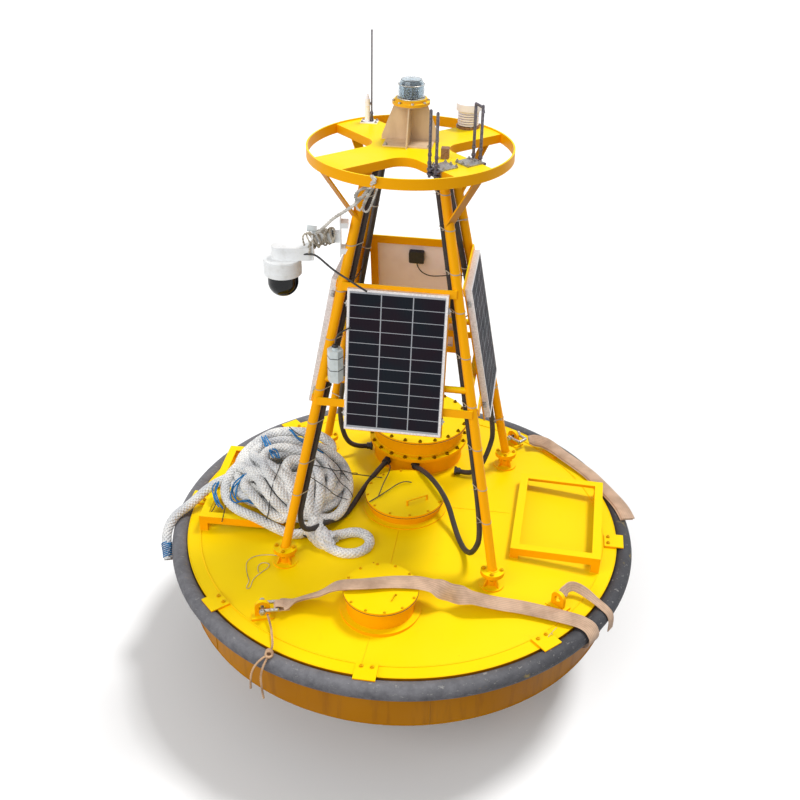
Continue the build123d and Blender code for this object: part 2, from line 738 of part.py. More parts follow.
# The routes of the rope's free ends, the slings and the tag line: x, y and the height over the deck edge's plane
TAIL_ROUTE = [(-1000, 50, 150), (-1070, 10, 130), (-1125, -50, 112), (-1168, -95, 78), (-1220, -150, 44),
              (-1266, -216, 30), (-1290, -286, -12), (-1282, -342, -62), (-1262, -378, -98), (-1252, -408, -130)]
EYE_ROUTE = [(-456, -180, 140), (-442, -258, 104), (-400, -350, 74), (-324, -398, 64), (-254, -420, 60),
             (-172, -398, 62), (-126, -330, 66), (-150, -255, 70), (-226, -236, 72), (-306, -280, 74)]
FRONT_SLING = [(-484, -856, 60), (-430, -826, 62), (-369, -792, 68), (-300, -782, 92), (-235, -776, 146),
               (-172, -770, 162), (-82, -751, 163), (40, -712, 161), (120, -697, 161), (194, -690, 160),
               (266, -690, 146), (343, -694, 126), (445, -690, 102), (520, -676, 78), (600, -660, 54),
               (682, -648, 38), (749, -649, 30), (851, -654, 22), (952, -668, 16), (1010, -684, 16),
               (1052, -704, 8), (1072, -717, -14), (1079, -721, -41), (1073, -717, -70), (1054, -705, -90),
               (1030, -690, -96)]
REAR_SLING = [(674, 855, 58), (735, 868, 50), (795, 852, 42), (895, 758, 28), (985, 680, 18), (1050, 612, 14),
              (1105, 527, 13), (1165, 436, 12), (1215, 348, 12), (1246, 275, 12), (1264, 205, 11)]
SIDE_SLING = [(905, -548, 58), (925, -500, 66), (962, -472, 64), (1020, -484, 44), (1074, -520, 26),
              (1124, -558, 14), (1153, -573, -4), (1165, -580, -36), (1167, -581, -72), (1166, -580, -105)]
TAG_ROUTE = [(-545, -915, 40), (-512, -975, 20), (-490, -1040, 16), (-470, -1100, 12), (-474, -1160, 14),
             (-490, -1215, -10), (-497, -1235, -60), (-495, -1232, -130), (-492, -1228, -200)]


def rope_ends(heap):
    """The two free ends of the mooring rope, cut where they leave the heap."""
    for name, route in (("rope_tail", TAIL_ROUTE), ("rope_eye", EYE_ROUTE)):
        with BuildPart() as made:
            add(tube(at_deck(route), ROPE_T, name).part)
            add(heap, mode=Mode.SUBTRACT)
        finish(made, name)


def slings():
    """The webbing slings on the deck."""
    for name, route, width in (("sling_front", FRONT_SLING, 90), ("sling_rear", REAR_SLING, 75),
                               ("sling_side", SIDE_SLING, 50)):
        with BuildPart() as made:
            strap(at_deck(route), width, 7)
        finish(made, name)


def shackles():
    """The bow shackles through the front left and back right padeyes."""
    with BuildPart() as made:
        for angle, turn in (PADEYES[0], PADEYES[2]):
            hole = polar(PADEYE_R, angle, PADEYE_HOLE_Z)
            pin = polar(1, turn - 90)
            away = polar(1, turn)
            rod(hole - pin * 42, hole + pin * 42, 9)
            for side in (-1, 1):
                rod(hole + pin * (30 * side), hole + pin * (30 * side) + away * 75, 9)
            rod(hole + pin * 30 + away * 75, hole - pin * 30 + away * 75, 9)
    finish(made, "shackles")


def tag_line():
    """The thin line that hangs from the front left shackle over the fender."""
    finish(tube(at_deck(TAG_ROUTE), 6, "tag_line"), "tag_line")


os.makedirs("parts", exist_ok=True)
hull()
fender()
fender_clips()
lifting_eyes()
mooring_eyes()
deck_hatch(*FRONT_HATCH)
deck_hatch(*MID_HATCH)
main_hatch()
side_frame(1, "side_frame_right")
side_frame(-1, "side_frame_left")
leg_sockets()
for leg_name, leg_angle in LEG_ANGLES.items():
    leg(leg_name, leg_angle)
cross_tubes()
panel_frames()
for panel_name, panel_angle in SIDE_ANGLES.items():
    solar_panel(panel_name, panel_angle)
junction_boxes()
top_ring()
platform()
ring_struts()
pedestal()
lantern()
whip_antenna()
radiation_shield()
aerials()
sensor_block()
camera(camera_arm())
junction_case()
conduits()
rope_ends(rope_heap())
slings()
shackles()
tag_line()
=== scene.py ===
"""The looks of a navigation buoy: its finishes, cords and small parts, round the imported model."""

import logging
import math
from dataclasses import dataclass, field
from enum import Enum
from typing import Iterable, Sequence

import bmesh
import bpy
from mathutils import Matrix, Vector, noise


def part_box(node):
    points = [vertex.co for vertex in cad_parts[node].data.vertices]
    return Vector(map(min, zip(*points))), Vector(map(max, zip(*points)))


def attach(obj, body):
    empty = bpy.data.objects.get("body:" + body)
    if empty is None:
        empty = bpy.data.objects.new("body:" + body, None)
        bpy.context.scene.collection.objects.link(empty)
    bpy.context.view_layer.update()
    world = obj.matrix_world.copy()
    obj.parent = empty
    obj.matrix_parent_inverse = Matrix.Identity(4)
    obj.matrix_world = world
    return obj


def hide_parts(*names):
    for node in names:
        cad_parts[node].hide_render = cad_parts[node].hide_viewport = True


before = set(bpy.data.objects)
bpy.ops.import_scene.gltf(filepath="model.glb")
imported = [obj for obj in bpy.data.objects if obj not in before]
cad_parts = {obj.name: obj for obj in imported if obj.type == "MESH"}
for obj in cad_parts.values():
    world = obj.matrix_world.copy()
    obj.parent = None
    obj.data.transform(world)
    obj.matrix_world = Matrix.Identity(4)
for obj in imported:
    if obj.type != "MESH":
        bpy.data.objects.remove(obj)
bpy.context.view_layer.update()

log = logging.getLogger("buoy")
BUOY = "buoy"
DECK = 0.780  # the deck edge's plane
UP = Vector((0, 0, 1))


class Slot(str, Enum):
    """The record's finishes."""

    YELLOW = "yellow_paint"
    CREAM = "cream_paint"
    FENDER = "fender_rubber"
    SOLAR = "solar_laminate"
    BLACK = "black_plastic"
    LENS = "clear_lens"
    DOME = "smoked_dome"
    WHITE = "white_plastic"
    DARK = "dark_metal"
    ZINC = "galvanised"
    ROPE = "rope_fibre"
    WEB = "webbing"
    LINE = "thin_line"


# ---------------------------------------------------------------- helpers


def linear(hex_code: str) -> tuple[float, float, float, float]:
    """Turns an sRGB colour into a linear one.

    Args:
        hex_code: the colour as six hex digits after a hash.

    Returns:
        The linear red, green, blue and an alpha of 1.
    """
    values = [int(hex_code[i : i + 2], 16) / 255 for i in (1, 3, 5)]
    red, green, blue = (v / 12.92 if v <= 0.04045 else ((v + 0.055) / 1.055) ** 2.4 for v in values)
    return (red, green, blue, 1.0)


def add_node(tree: bpy.types.NodeTree, kind: str, settings: dict | None = None, inputs: dict | None = None):
    """Adds a node with its settings and inputs.

    Args:
        tree: the node tree.
        kind: the node's type without the ShaderNode at its front.
        settings: the node's own properties.
        inputs: for each input's name or number a socket to link or a value.

    Returns:
        The new node.
    """
    node = tree.nodes.new("ShaderNode" + kind)
    for key, value in (settings or {}).items():
        setattr(node, key, value)
    for key, value in (inputs or {}).items():
        if isinstance(value, bpy.types.NodeSocket):
            tree.links.new(value, node.inputs[key])
        else:
            node.inputs[key].default_value = value
    return node


def polar(radius: float, degrees: float, height: float = 0.0) -> Vector:
    """Returns the point at that distance from the axis, at that angle and height."""
    turn = math.radians(degrees)
    return Vector((radius * math.cos(turn), radius * math.sin(turn), height))


def deck_height(x: float, y: float) -> float:
    """Returns the crowned deck's height at a place."""
    rim, crown = 1.130, 0.050
    ball = (rim**2 + crown**2) / (2 * crown)
    away = math.hypot(x, y)
    return DECK if away >= rim else DECK + crown - ball + math.sqrt(ball**2 - away**2)


def facing(place: Sequence[float], normal: Sequence[float], across: Sequence[float] = (1, 0, 0)) -> Matrix:
    """Builds a placement whose Z is a normal.

    Args:
        place: where the origin goes.
        normal: the direction of Z.
        across: the rough direction of X.

    Returns:
        The matrix.
    """
    z = Vector(normal).normalized()
    x = Vector(across)
    x = (x - z * x.dot(z)).normalized()
    turned = Matrix((x, z.cross(x), z)).transposed()
    return Matrix.Translation(Vector(place)) @ turned.to_4x4()


def spline_path(route: Iterable[Sequence[float]], step: float) -> list[Vector]:
    """Reads even points from the smooth curve that a route controls.

    Args:
        route: the control points, in metres.
        step: the wanted distance between the points.

    Returns:
        The points, ends included.
    """
    places = list(route)
    curve = bpy.data.curves.new("route", "CURVE")
    curve.dimensions = "3D"
    curve.resolution_u = 16
    spline = curve.splines.new("NURBS")
    spline.points.add(len(places) - 1)
    for point, place in zip(spline.points, places):
        point.co = (*place, 1.0)
    spline.order_u = 3
    spline.use_endpoint_u = True
    holder = bpy.data.objects.new("route", curve)
    mesh = bpy.data.meshes.new_from_object(holder)
    fine = [v.co.copy() for v in mesh.vertices]
    bpy.data.objects.remove(holder)
    bpy.data.curves.remove(curve)
    bpy.data.meshes.remove(mesh)
    return even(fine, step)


def even(points: Sequence[Vector], step: float) -> list[Vector]:
    """Spaces points evenly along the line that they make.

    Args:
        points: the line's points.
        step: the wanted distance.

    Returns:
        The evenly spaced points.
    """
    runs = [(b - a).length for a, b in zip(points[:-1], points[1:])]
    count = max(2, round(sum(runs) / step))
    gap = sum(runs) / count
    made, along, nearest = [points[0].copy()], 0.0, 0
    for index in range(1, count):
        while along + runs[nearest] < index * gap:
            along += runs[nearest]
            nearest += 1
        share = (index * gap - along) / runs[nearest]
        made.append(points[nearest].lerp(points[nearest + 1], share))
    return made + [points[-1].copy()]


def length_of(points: Sequence[Vector]) -> float:
    """Returns the length of a line through points."""
    return sum((b - a).length for a, b in zip(points[:-1], points[1:]))


def tangents(points: Sequence[Vector]) -> list[Vector]:
    """Returns the direction of a line at each of its points."""
    ends = [points[0], *points, points[-1]]
    return [(c - a).normalized() for a, c in zip(ends[:-2], ends[2:])]


def frames_along(points: Sequence[Vector], start: Sequence[float] = UP) -> list[Matrix]:
    """Makes a placement at each point of a line, none twisted against the one before.

    Args:
        points: the line.
        start: the rough direction of X at the first point.

    Returns:
        The matrices, Z along the line.
    """
    made = []
    ways = tangents(points)
    side = Vector(start) if ways[0].cross(Vector(start)).length > 0.05 else ways[0].orthogonal()
    for point, along in zip(points, ways):
        side = (side - along * side.dot(along)).normalized()
        made.append(Matrix.Translation(point) @ Matrix((side, along.cross(side), along)).transposed().to_4x4())
    return made


class Maker:
    """A piece in the making: shapes are added to one bmesh, which becomes one object."""

    def __init__(self) -> None:
        """Starts with nothing."""
        self.bm = bmesh.new()

    def _soften(self, verts: Sequence[bmesh.types.BMVert], width: float, sharp: float = 0.6) -> None:
        """Bevels the sharp edges of new vertices.

        Args:
            verts: the vertices of the new shape.
            width: the bevel's width.
            sharp: the least angle, in radians, that is bevelled.
        """
        edges = {e for v in verts for e in v.link_edges if e.calc_face_angle(0.0) > sharp}
        if width > 0 and edges:
            bmesh.ops.bevel(self.bm, geom=list(edges), offset=width, segments=2, profile=0.5, affect="EDGES",
                            material=-1, clamp_overlap=True)

    def drum(self, place: Matrix, radius: float, height: float, top: float | None = None, sides: int = 32,
             bevel: float = 0.0) -> None:
        """Adds a drum, cone or prism that stands on a placement.

        Args:
            place: its foot's middle, with Z along the axis.
            radius: the foot's radius.
            height: its height.
            top: the top's radius, where it differs.
            sides: how many sides it has.
            bevel: the width of its bevelled edges.
        """
        made = bmesh.ops.create_cone(self.bm, cap_ends=True, segments=sides, radius1=radius,
                                     radius2=radius if top is None else top, depth=height,
                                     matrix=place @ Matrix.Translation((0, 0, height / 2)))
        self._soften(made["verts"], bevel)

    def block(self, place: Matrix, size: Sequence[float], bevel: float = 0.0) -> None:
        """Adds a block that stands on a placement.

        Args:
            place: its foot's middle.
            size: its width, depth and height.
            bevel: the width of its bevelled edges.
        """
        middle = Matrix.Translation((0, 0, size[2] / 2))
        made = bmesh.ops.create_cube(self.bm, size=1.0, matrix=place @ middle @ Matrix.Diagonal((*size, 1.0)))
        self._soften(made["verts"], bevel)

    def ball(self, place: Matrix, radius: float, rings: int = 12) -> None:
        """Adds a ball; rings is how fine it is."""
        bmesh.ops.create_uvsphere(self.bm, u_segments=2 * rings, v_segments=rings, radius=radius, matrix=place)

    def hoop(self, place: Matrix, radius: float, section: float, sides: int = 48, around: int = 8,
             squash: float = 1.0) -> None:
        """Adds a hoop of round bar.

        Args:
            place: its middle, with Z along its axis.
            radius: to the bar's middle.
            section: the bar's radius.
            sides: how many segments go round.
            around: the sides of the bar.
            squash: the bar's height along the axis over its width.
        """
        start = Matrix.Translation((radius, 0, 0)) @ Matrix.Rotation(math.pi / 2, 4, "X")
        flat = Matrix.Diagonal((1, 1, squash, 1))
        made = bmesh.ops.create_circle(self.bm, cap_ends=False, segments=around, radius=section,
                                       matrix=place @ flat @ start)
        edges = list({e for v in made["verts"] for e in v.link_edges})
        axis = place.to_3x3() @ UP
        spun = bmesh.ops.spin(self.bm, geom=made["verts"] + edges, cent=place.translation, axis=axis,
                              angle=math.tau, steps=sides, use_merge=True)
        faces = {f for g in spun["geom_last"] for f in getattr(g, "link_faces", [])}
        bmesh.ops.recalc_face_normals(self.bm, faces=list(faces))

    def turned(self, place: Matrix, outline: Sequence[tuple[float, float]], sides: int = 48) -> None:
        """Adds a shape turned on a lathe.

        Args:
            place: the lathe's axis, along Z.
            outline: radius and height of each point of a closed outline.
            sides: how many segments go round.
        """
        ring = [self.bm.verts.new(place @ Vector((r, 0, z))) for r, z in outline]
        edges = [self.bm.edges.new((a, b)) for a, b in zip(ring, ring[1:] + ring[:1])]
        bmesh.ops.spin(self.bm, geom=ring + edges, cent=place.translation, axis=place.to_3x3() @ UP,
                       angle=math.tau, steps=sides, use_merge=True)

    def tube(self, points: Sequence[Vector], radius: float, sides: int = 8) -> None:
        """Adds a round bar or wire along points, its ends closed."""
        self.profile(points, [(radius * math.cos(math.tau * i / sides), radius * math.sin(math.tau * i / sides))
                              for i in range(sides)])

    def profile(self, points: Sequence[Vector], outline: Sequence[tuple[float, float]],
                side: Sequence[float] = UP, frames: Sequence[Matrix] | None = None) -> None:
        """Adds an outline pushed along points.

        Args:
            points: the line to follow.
            outline: the section, in the placements' X and Y.
            side: the rough direction of the section's X at the start.
            frames: the placements to use, where they don't follow from the points.
        """
        places = list(frames or frames_along(points, side))
        ring = [self.bm.verts.new(places[0] @ Vector((x, y, 0))) for x, y in outline]
        start = self.bm.faces.new(reversed(ring))
        edges = list(start.edges)
        faces = [start]
        for before, place in zip(places[:-1], places[1:]):
            pushed = bmesh.ops.extrude_edge_only(self.bm, edges=edges)["geom"]
            verts = [g for g in pushed if isinstance(g, bmesh.types.BMVert)]
            faces += [g for g in pushed if isinstance(g, bmesh.types.BMFace)]
            edges = [g for g in pushed if isinstance(g, bmesh.types.BMEdge) and set(g.verts) <= set(verts)]
            bmesh.ops.transform(self.bm, matrix=place @ before.inverted(), verts=verts)
        faces += bmesh.ops.contextual_create(self.bm, geom=edges)["faces"]
        bmesh.ops.recalc_face_normals(self.bm, faces=faces)

    def bolt(self, place: Matrix, size: float = 0.012, shank: float = 0.0) -> None:
        """Adds a hexagon bolt head with its washer.

        Args:
            place: the seat, with Z outwards.
            size: the thread's diameter.
            shank: the length of thread that stands through the nut.
        """
        self.drum(place, size * 1.15, size * 0.2, sides=18)
        head = place @ Matrix.Translation((0, 0, size * 0.2))
        self.drum(head, size * 0.95, size * 0.65, sides=6, bevel=size * 0.08)
        if shank:
            self.drum(head @ Matrix.Translation((0, 0, size * 0.6)), size * 0.5, shank, sides=12)

    def place(self, name: str, material: bpy.types.Material, slot: Slot, body: str = BUOY,
              replaces: Sequence[str] = (), smooth: float | None = 40.0) -> bpy.types.Object:
        """Turns the shapes into an object that rides on a body.

        Args:
            name: the piece's name.
            material: its material.
            slot: the record's finish that it takes; not used.
            body: the body it rides on.
            replaces: the CAD nodes that it stands for.
            smooth: the angle, in degrees, below which edges look smooth.

        Returns:
            The object.
        """
        mesh = bpy.data.meshes.new(name)
        self.bm.to_mesh(mesh)
        self.bm.free()
        return mesh_object(name, mesh, material, body, replaces, smooth)


def mesh_object(name: str, mesh: bpy.types.Mesh, material: bpy.types.Material, body: str = BUOY,
                replaces: Sequence[str] = (), smooth: float | None = 40.0) -> bpy.types.Object:
    """Links a mesh as a piece that rides on a body.

    Args:
        name: the piece's name.
        mesh: its mesh.
        material: its material.
        body: the body it rides on.
        replaces: the CAD nodes that it stands for.
        smooth: the angle, in degrees, below which edges look smooth.

    Returns:
        The object.
    """
    mesh.name = name
    mesh.materials.clear()
    mesh.materials.append(material)
    piece = bpy.data.objects.new(name, mesh)
    bpy.context.scene.collection.objects.link(piece)
    if smooth is not None:
        mesh.shade_smooth()
        mesh.set_sharp_from_angle(angle=math.radians(smooth))
    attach(piece, body)
    if replaces:
        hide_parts(*replaces)
    log.info("%s: %d faces", name, len(mesh.polygons))
    return piece


def bevelled_curves(lines: Sequence[Sequence[Vector]], radius: float, rounds: int = 1) -> bpy.types.Mesh:
    """Makes one mesh of round strands along several lines.

    Args:
        lines: the points of each strand.
        radius: the strands' radius.
        rounds: how finely a strand is rounded.

    Returns:
        The mesh.
    """
    curve = bpy.data.curves.new("strands", "CURVE")
    curve.dimensions = "3D"
    curve.bevel_depth = radius
    curve.bevel_resolution = rounds
    curve.use_fill_caps = True
    for line in lines:
        spline = curve.splines.new("POLY")
        spline.points.add(len(line) - 1)
        for point, place in zip(spline.points, line):
            point.co = (*place, 1.0)
    holder = bpy.data.objects.new("strands", curve)
    mesh = bpy.data.meshes.new_from_object(holder)
    bpy.data.objects.remove(holder)
    bpy.data.curves.remove(curve)
    return mesh


def strand_lines(points: Sequence[Vector], strands: int, offset: float, pitch: float,
                 start: float = 0.0) -> list[list[Vector]]:
    """Winds strands round a line.

    Args:
        points: the line, evenly spaced.
        strands: how many there are.
        offset: each strand's distance from the line.
        pitch: the length of one turn.
        start: the first strand's angle at the line's start, in radians.

    Returns:
        The strands' points.
    """
    places = frames_along(points)
    gap = length_of(points) / (len(points) - 1)
    made = []
    for strand in range(strands):
        turns = [start + math.tau * (strand / strands + i * gap / pitch) for i in range(len(points))]
        made.append([p @ Vector((offset * math.cos(t), offset * math.sin(t), 0)) for p, t in zip(places, turns)])
    return made


# ---------------------------------------------------------------- finishes


@dataclass(frozen=True)
class Finish:
    """What every finish shares: a name, and the steps that its material is built with."""

    name: str

    def material(self) -> bpy.types.Material:
        """Returns the finish's material, made the first time."""
        found = bpy.data.materials.get(self.name)
        if found:
            return found
        made = bpy.data.materials.new(self.name)
        made.use_nodes = True
        tree = made.node_tree
        tree.nodes.clear()
        shader = add_node(tree, "BsdfPrincipled")
        add_node(tree, "OutputMaterial", inputs={"Surface": shader.outputs["BSDF"]})
        self.shade(tree, shader)
        return made

    def shade(self, tree: bpy.types.NodeTree, shader: bpy.types.Node) -> None:
        """Sets the shader up; each finish has its own way."""
        raise NotImplementedError

    def place(self, tree: bpy.types.NodeTree, stretch: Sequence[float] = (1, 1, 1), uv: bool = False):
        """Returns Object or UV coordinates, stretched."""
        coords = add_node(tree, "TexCoord").outputs["UV" if uv else "Object"]
        return add_node(tree, "Mapping", inputs={"Vector": coords, "Scale": stretch}).outputs["Vector"]

    def grain(self, tree: bpy.types.NodeTree, size: float, detail: float = 3.0,
              stretch: Sequence[float] = (1, 1, 1), rough: float = 0.5, uv: bool = False):
        """Adds noise whose lumps have a real size.

        Args:
            tree: the node tree.
            size: the lumps' size in metres.
            detail: how many finer layers it has.
            stretch: how much denser it is along each axis.
            rough: how strong the finer layers are.
            uv: whether it follows the UV map.

        Returns:
            The noise's value.
        """
        place = self.place(tree, stretch, uv)
        return add_node(tree, "TexNoise", inputs={
            "Vector": place, "Scale": 1 / size, "Detail": detail, "Roughness": rough}).outputs["Fac"]

    def band(self, tree: bpy.types.NodeTree, value, low: float, high: float, to: tuple[float, float] = (0, 1)):
        """Returns a value mapped from a range to another, clamped."""
        return add_node(tree, "MapRange", inputs={
            "Value": value, "From Min": low, "From Max": high, "To Min": to[0], "To Max": to[1]}).outputs["Result"]

    def blend(self, tree: bpy.types.NodeTree, share, first, second, way: str = "MIX"):
        """Returns two colours blended; a colour is a hex code or a socket."""
        colours = [linear(c) if isinstance(c, str) else c for c in (first, second)]
        return add_node(tree, "Mix", {"data_type": "RGBA", "blend_type": way},
                        {0: share, 6: colours[0], 7: colours[1]}).outputs[2]

    def sums(self, tree: bpy.types.NodeTree, way: str, first, second=0.0):
        """Returns a sum, product or other result of two values."""
        return add_node(tree, "Math", {"operation": way}, {0: first, 1: second}).outputs[0]

    def relief(self, tree: bpy.types.NodeTree, shader: bpy.types.Node, height, depth: float,
               strength: float = 1.0) -> None:
        """Adds a bump of a real depth, in metres, to the shader."""
        bump = add_node(tree, "Bump", inputs={"Height": height, "Distance": depth, "Strength": strength})
        tree.links.new(bump.outputs["Normal"], shader.inputs["Normal"])

    def upward(self, tree: bpy.types.NodeTree, low: float, high: float):
        """Returns how much a surface faces up, mapped between two heights of its normal."""
        normal = add_node(tree, "NewGeometry").outputs["Normal"]
        return self.band(tree, add_node(tree, "SeparateXYZ", inputs={0: normal}).outputs["Z"], low, high)


@dataclass(frozen=True)
class MarineEnamel(Finish):
    """Sprayed gloss enamel on steel, scuffed here and there, its colour painted by facing: the deeper side and under
    colours are painted shade against the top colour.
    """

    # the colours of faces that look up, sideways and down; side and under are painted shade
    top: str = "#FFDC00"
    side: str = "#FFAC00"
    under: str = "#9A5E00"
    wear: float = 1.0
    drips: bool = False

    def shade(self, tree: bpy.types.NodeTree, shader: bpy.types.Node) -> None:
        """Builds the paint with its painted shade by facing, its dirt, its scuffs and its specks of rust."""
        # painted shade: faces blend from the under colour to the side colour and on to the top colour as they turn
        # upwards
        sides = self.blend(tree, self.upward(tree, -0.75, 0.05), self.under, self.side)
        paint = self.blend(tree, self.upward(tree, 0.3, 0.9), sides, self.top)
        clouds = self.band(tree, self.grain(tree, 0.55, 3.0), 0.40, 0.75, (0.0, 0.10 * self.wear))
        paint = self.blend(tree, clouds, paint, "#FFB800")
        grime = self.band(tree, self.grain(tree, 0.12, 6.0, rough=0.62), 0.64, 0.80, (0.0, 0.12 * self.wear))
        paint = self.blend(tree, grime, paint, "#B07818")
        scuffs = self.grain(tree, 0.03, 5.0, (0.16, 1.0, 1.0), 0.7)
        paint = self.blend(tree, self.band(tree, scuffs, 0.735, 0.77, (0.0, 0.35 * self.wear)), paint, "#7A5418")
        if self.drips:
            runs = self.grain(tree, 0.05, 4.0, (1.0, 1.0, 0.12), 0.6)
            side = self.sums(tree, "SUBTRACT", 1.0, self.upward(tree, 0.2, 0.7))
            share = self.sums(tree, "MULTIPLY", self.band(tree, runs, 0.50, 0.72, (0.0, 0.45)), side)
            paint = self.blend(tree, share, paint, "#7A4A10")
        rust = self.band(tree, self.grain(tree, 0.012, 3.0), 0.79, 0.81, (0.0, 0.8 * self.wear))
        paint = self.blend(tree, rust, paint, "#5A2C10")
        tree.links.new(paint, shader.inputs["Base Color"])
        rough = self.band(tree, self.grain(tree, 0.16, 4.0), 0.3, 0.7, (0.34, 0.50))
        tree.links.new(rough, shader.inputs["Roughness"])
        plates = self.sums(tree, "MULTIPLY", self.grain(tree, 0.30, 2.0), 3.0)
        peel = self.sums(tree, "MULTIPLY", self.grain(tree, 0.004, 1.0), 0.05)
        self.relief(tree, shader, self.sums(tree, "ADD", plates, peel), 0.0012, 0.6)
        shader.inputs["Specular IOR Level"].default_value = 0.12


@dataclass(frozen=True)
class PrimerPaint(Finish):
    """Matt cream primer on cut plate, chalky, with brown dirt in upright streaks."""

    base: str = "#D9BE9C"

    def shade(self, tree: bpy.types.NodeTree, shader: bpy.types.Node) -> None:
        """Builds the primer with brown dirt and a dry surface."""
        dirt = self.band(tree, self.grain(tree, 0.05, 5.0, (1, 1, 0.3)), 0.4, 0.75, (0.0, 0.45))
        tree.links.new(self.blend(tree, dirt, self.base, "#A07C58"), shader.inputs["Base Color"])
        tree.links.new(self.band(tree, self.grain(tree, 0.03), 0.3, 0.7, (0.5, 0.7)), shader.inputs["Roughness"])
        self.relief(tree, shader, self.grain(tree, 0.006, 2.0), 0.0004)


@dataclass(frozen=True)
class FenderRubber(Finish):
    """Extruded black rubber, chafed to grey, lighter grey on its upward faces and darker towards +X, with pale and
    yellow rub marks.
    """

    def shade(self, tree: bpy.types.NodeTree, shader: bpy.types.Node) -> None:
        """Builds the rubber, its lighter upward faces, its darker +X side and its rub marks."""
        worn = self.band(tree, self.grain(tree, 0.07, 8.0, rough=0.72), 0.36, 0.64)
        rubber = self.blend(tree, worn, "#3A3A40", "#6C6B70")
        # lighter grey on faces that look up
        dust = self.sums(tree, "MULTIPLY", self.upward(tree, -0.1, 0.9), 0.35)
        rubber = self.blend(tree, dust, rubber, "#88888C")
        # darker towards +X, the buoy's right side
        across = add_node(tree, "SeparateXYZ", inputs={0: add_node(tree, "TexCoord").outputs["Object"]}).outputs["X"]
        rubber = self.blend(tree, self.band(tree, across, 0.25, 1.0, (0.0, 0.85)), rubber, "#24252B")
        marks = self.grain(tree, 0.03, 6.0, (1.0, 1.0, 2.6), 0.68)
        rubber = self.blend(tree, self.band(tree, marks, 0.59, 0.68, (0.0, 0.6)), rubber, "#A6A4A0")
        rubs = self.grain(tree, 0.11, 5.0, (1.0, 1.0, 2.0), 0.6)
        rubber = self.blend(tree, self.band(tree, rubs, 0.66, 0.72, (0.0, 0.6)), rubber, "#A89048")
        tree.links.new(rubber, shader.inputs["Base Color"])
        tree.links.new(self.band(tree, marks, 0.3, 0.7, (0.55, 0.85)), shader.inputs["Roughness"])
        lumps = self.sums(tree, "ADD", self.grain(tree, 0.05, 4.0), self.grain(tree, 0.004, 2.0))
        self.relief(tree, shader, lumps, 0.0018)


@dataclass(frozen=True)
class SiliconCells(Finish):
    """Dark monocrystalline cells under glass; fine silver fingers run along each cell."""

    def shade(self, tree: bpy.types.NodeTree, shader: bpy.types.Node) -> None:
        """Builds the cells' tints and their fingers, drawn 7 mm apart so that they show."""
        tint = self.blend(tree, self.band(tree, self.grain(tree, 0.14, 1.0), 0.35, 0.65), "#20242B", "#261F27")
        place = self.place(tree, uv=True)
        lines = add_node(tree, "TexWave", {"wave_type": "BANDS", "bands_direction": "X"},
                         {"Vector": place, "Scale": 45.0}).outputs["Fac"]
        lines = self.band(tree, lines, 0.93, 1.0, (0.0, 0.05))
        tree.links.new(self.blend(tree, lines, tint, "#787C84"), shader.inputs["Base Color"])
        tree.links.new(self.band(tree, self.grain(tree, 0.08, 4.0), 0.3, 0.8, (0.40, 0.58)),
                       shader.inputs["Roughness"])
        shader.inputs["Specular IOR Level"].default_value = 0.02


@dataclass(frozen=True)
class SmoothPlastic(Finish):
    """Moulded plastic or enamel in one colour, with the dirt that gathers on it outdoors."""

    base: str
    dirt: str
    amount: float = 0.3
    rough: float = 0.4
    spots: float = 0.03

    def shade(self, tree: bpy.types.NodeTree, shader: bpy.types.Node) -> None:
        """Builds the moulding's colour, dirt and faint texture."""
        soil = self.band(tree, self.grain(tree, self.spots, 5.0, rough=0.6), 0.5, 0.75, (0.0, self.amount))
        tree.links.new(self.blend(tree, soil, self.base, self.dirt), shader.inputs["Base Color"])
        sheen = self.band(tree, self.grain(tree, 0.02, 3.0), 0.3, 0.7, (self.rough - 0.07, self.rough + 0.1))
        tree.links.new(sheen, shader.inputs["Roughness"])
        self.relief(tree, shader, self.grain(tree, 0.0025, 2.0), 0.0001)


@dataclass(frozen=True)
class WornMetal(Finish):
    """Galvanised, stainless or coated metal with its spangle, stains and rust."""

    bright: str
    dull: str
    rust: float = 0.0
    metallic: float = 1.0
    rough: float = 0.42

    def shade(self, tree: bpy.types.NodeTree, shader: bpy.types.Node) -> None:
        """Builds the metal's mottle and stains."""
        mottle = self.band(tree, self.grain(tree, 0.008, 4.0), 0.3, 0.7)
        metal = self.blend(tree, mottle, self.bright, self.dull)
        stains = self.band(tree, self.grain(tree, 0.025, 5.0), 0.55, 0.7, (0.0, self.rust))
        tree.links.new(self.blend(tree, stains, metal, "#7A4A26"), shader.inputs["Base Color"])
        shader.inputs["Metallic"].default_value = self.metallic
        sheen = self.band(tree, self.grain(tree, 0.012, 3.0), 0.3, 0.7, (self.rough - 0.1, self.rough + 0.15))
        tree.links.new(sheen, shader.inputs["Roughness"])
        self.relief(tree, shader, self.grain(tree, 0.003, 3.0), 0.00015)


@dataclass(frozen=True)
class ClearGlass(Finish):
    """Clear or smoked plastic that light goes through, with a haze of salt."""

    tint: str
    clear: float = 1.0
    haze: float = 0.03
    shine: float = 0.5

    def shade(self, tree: bpy.types.NodeTree, shader: bpy.types.Node) -> None:
        """Builds the tint, the passage of light and the haze."""
        film = self.band(tree, self.grain(tree, 0.02, 4.0), 0.35, 0.75, (self.haze, self.haze + 0.1))
        tree.links.new(film, shader.inputs["Roughness"])
        shader.inputs["Base Color"].default_value = linear(self.tint)
        shader.inputs["Transmission Weight"].default_value = self.clear
        shader.inputs["Specular IOR Level"].default_value = self.shine
        shader.inputs["IOR"].default_value = 1.49


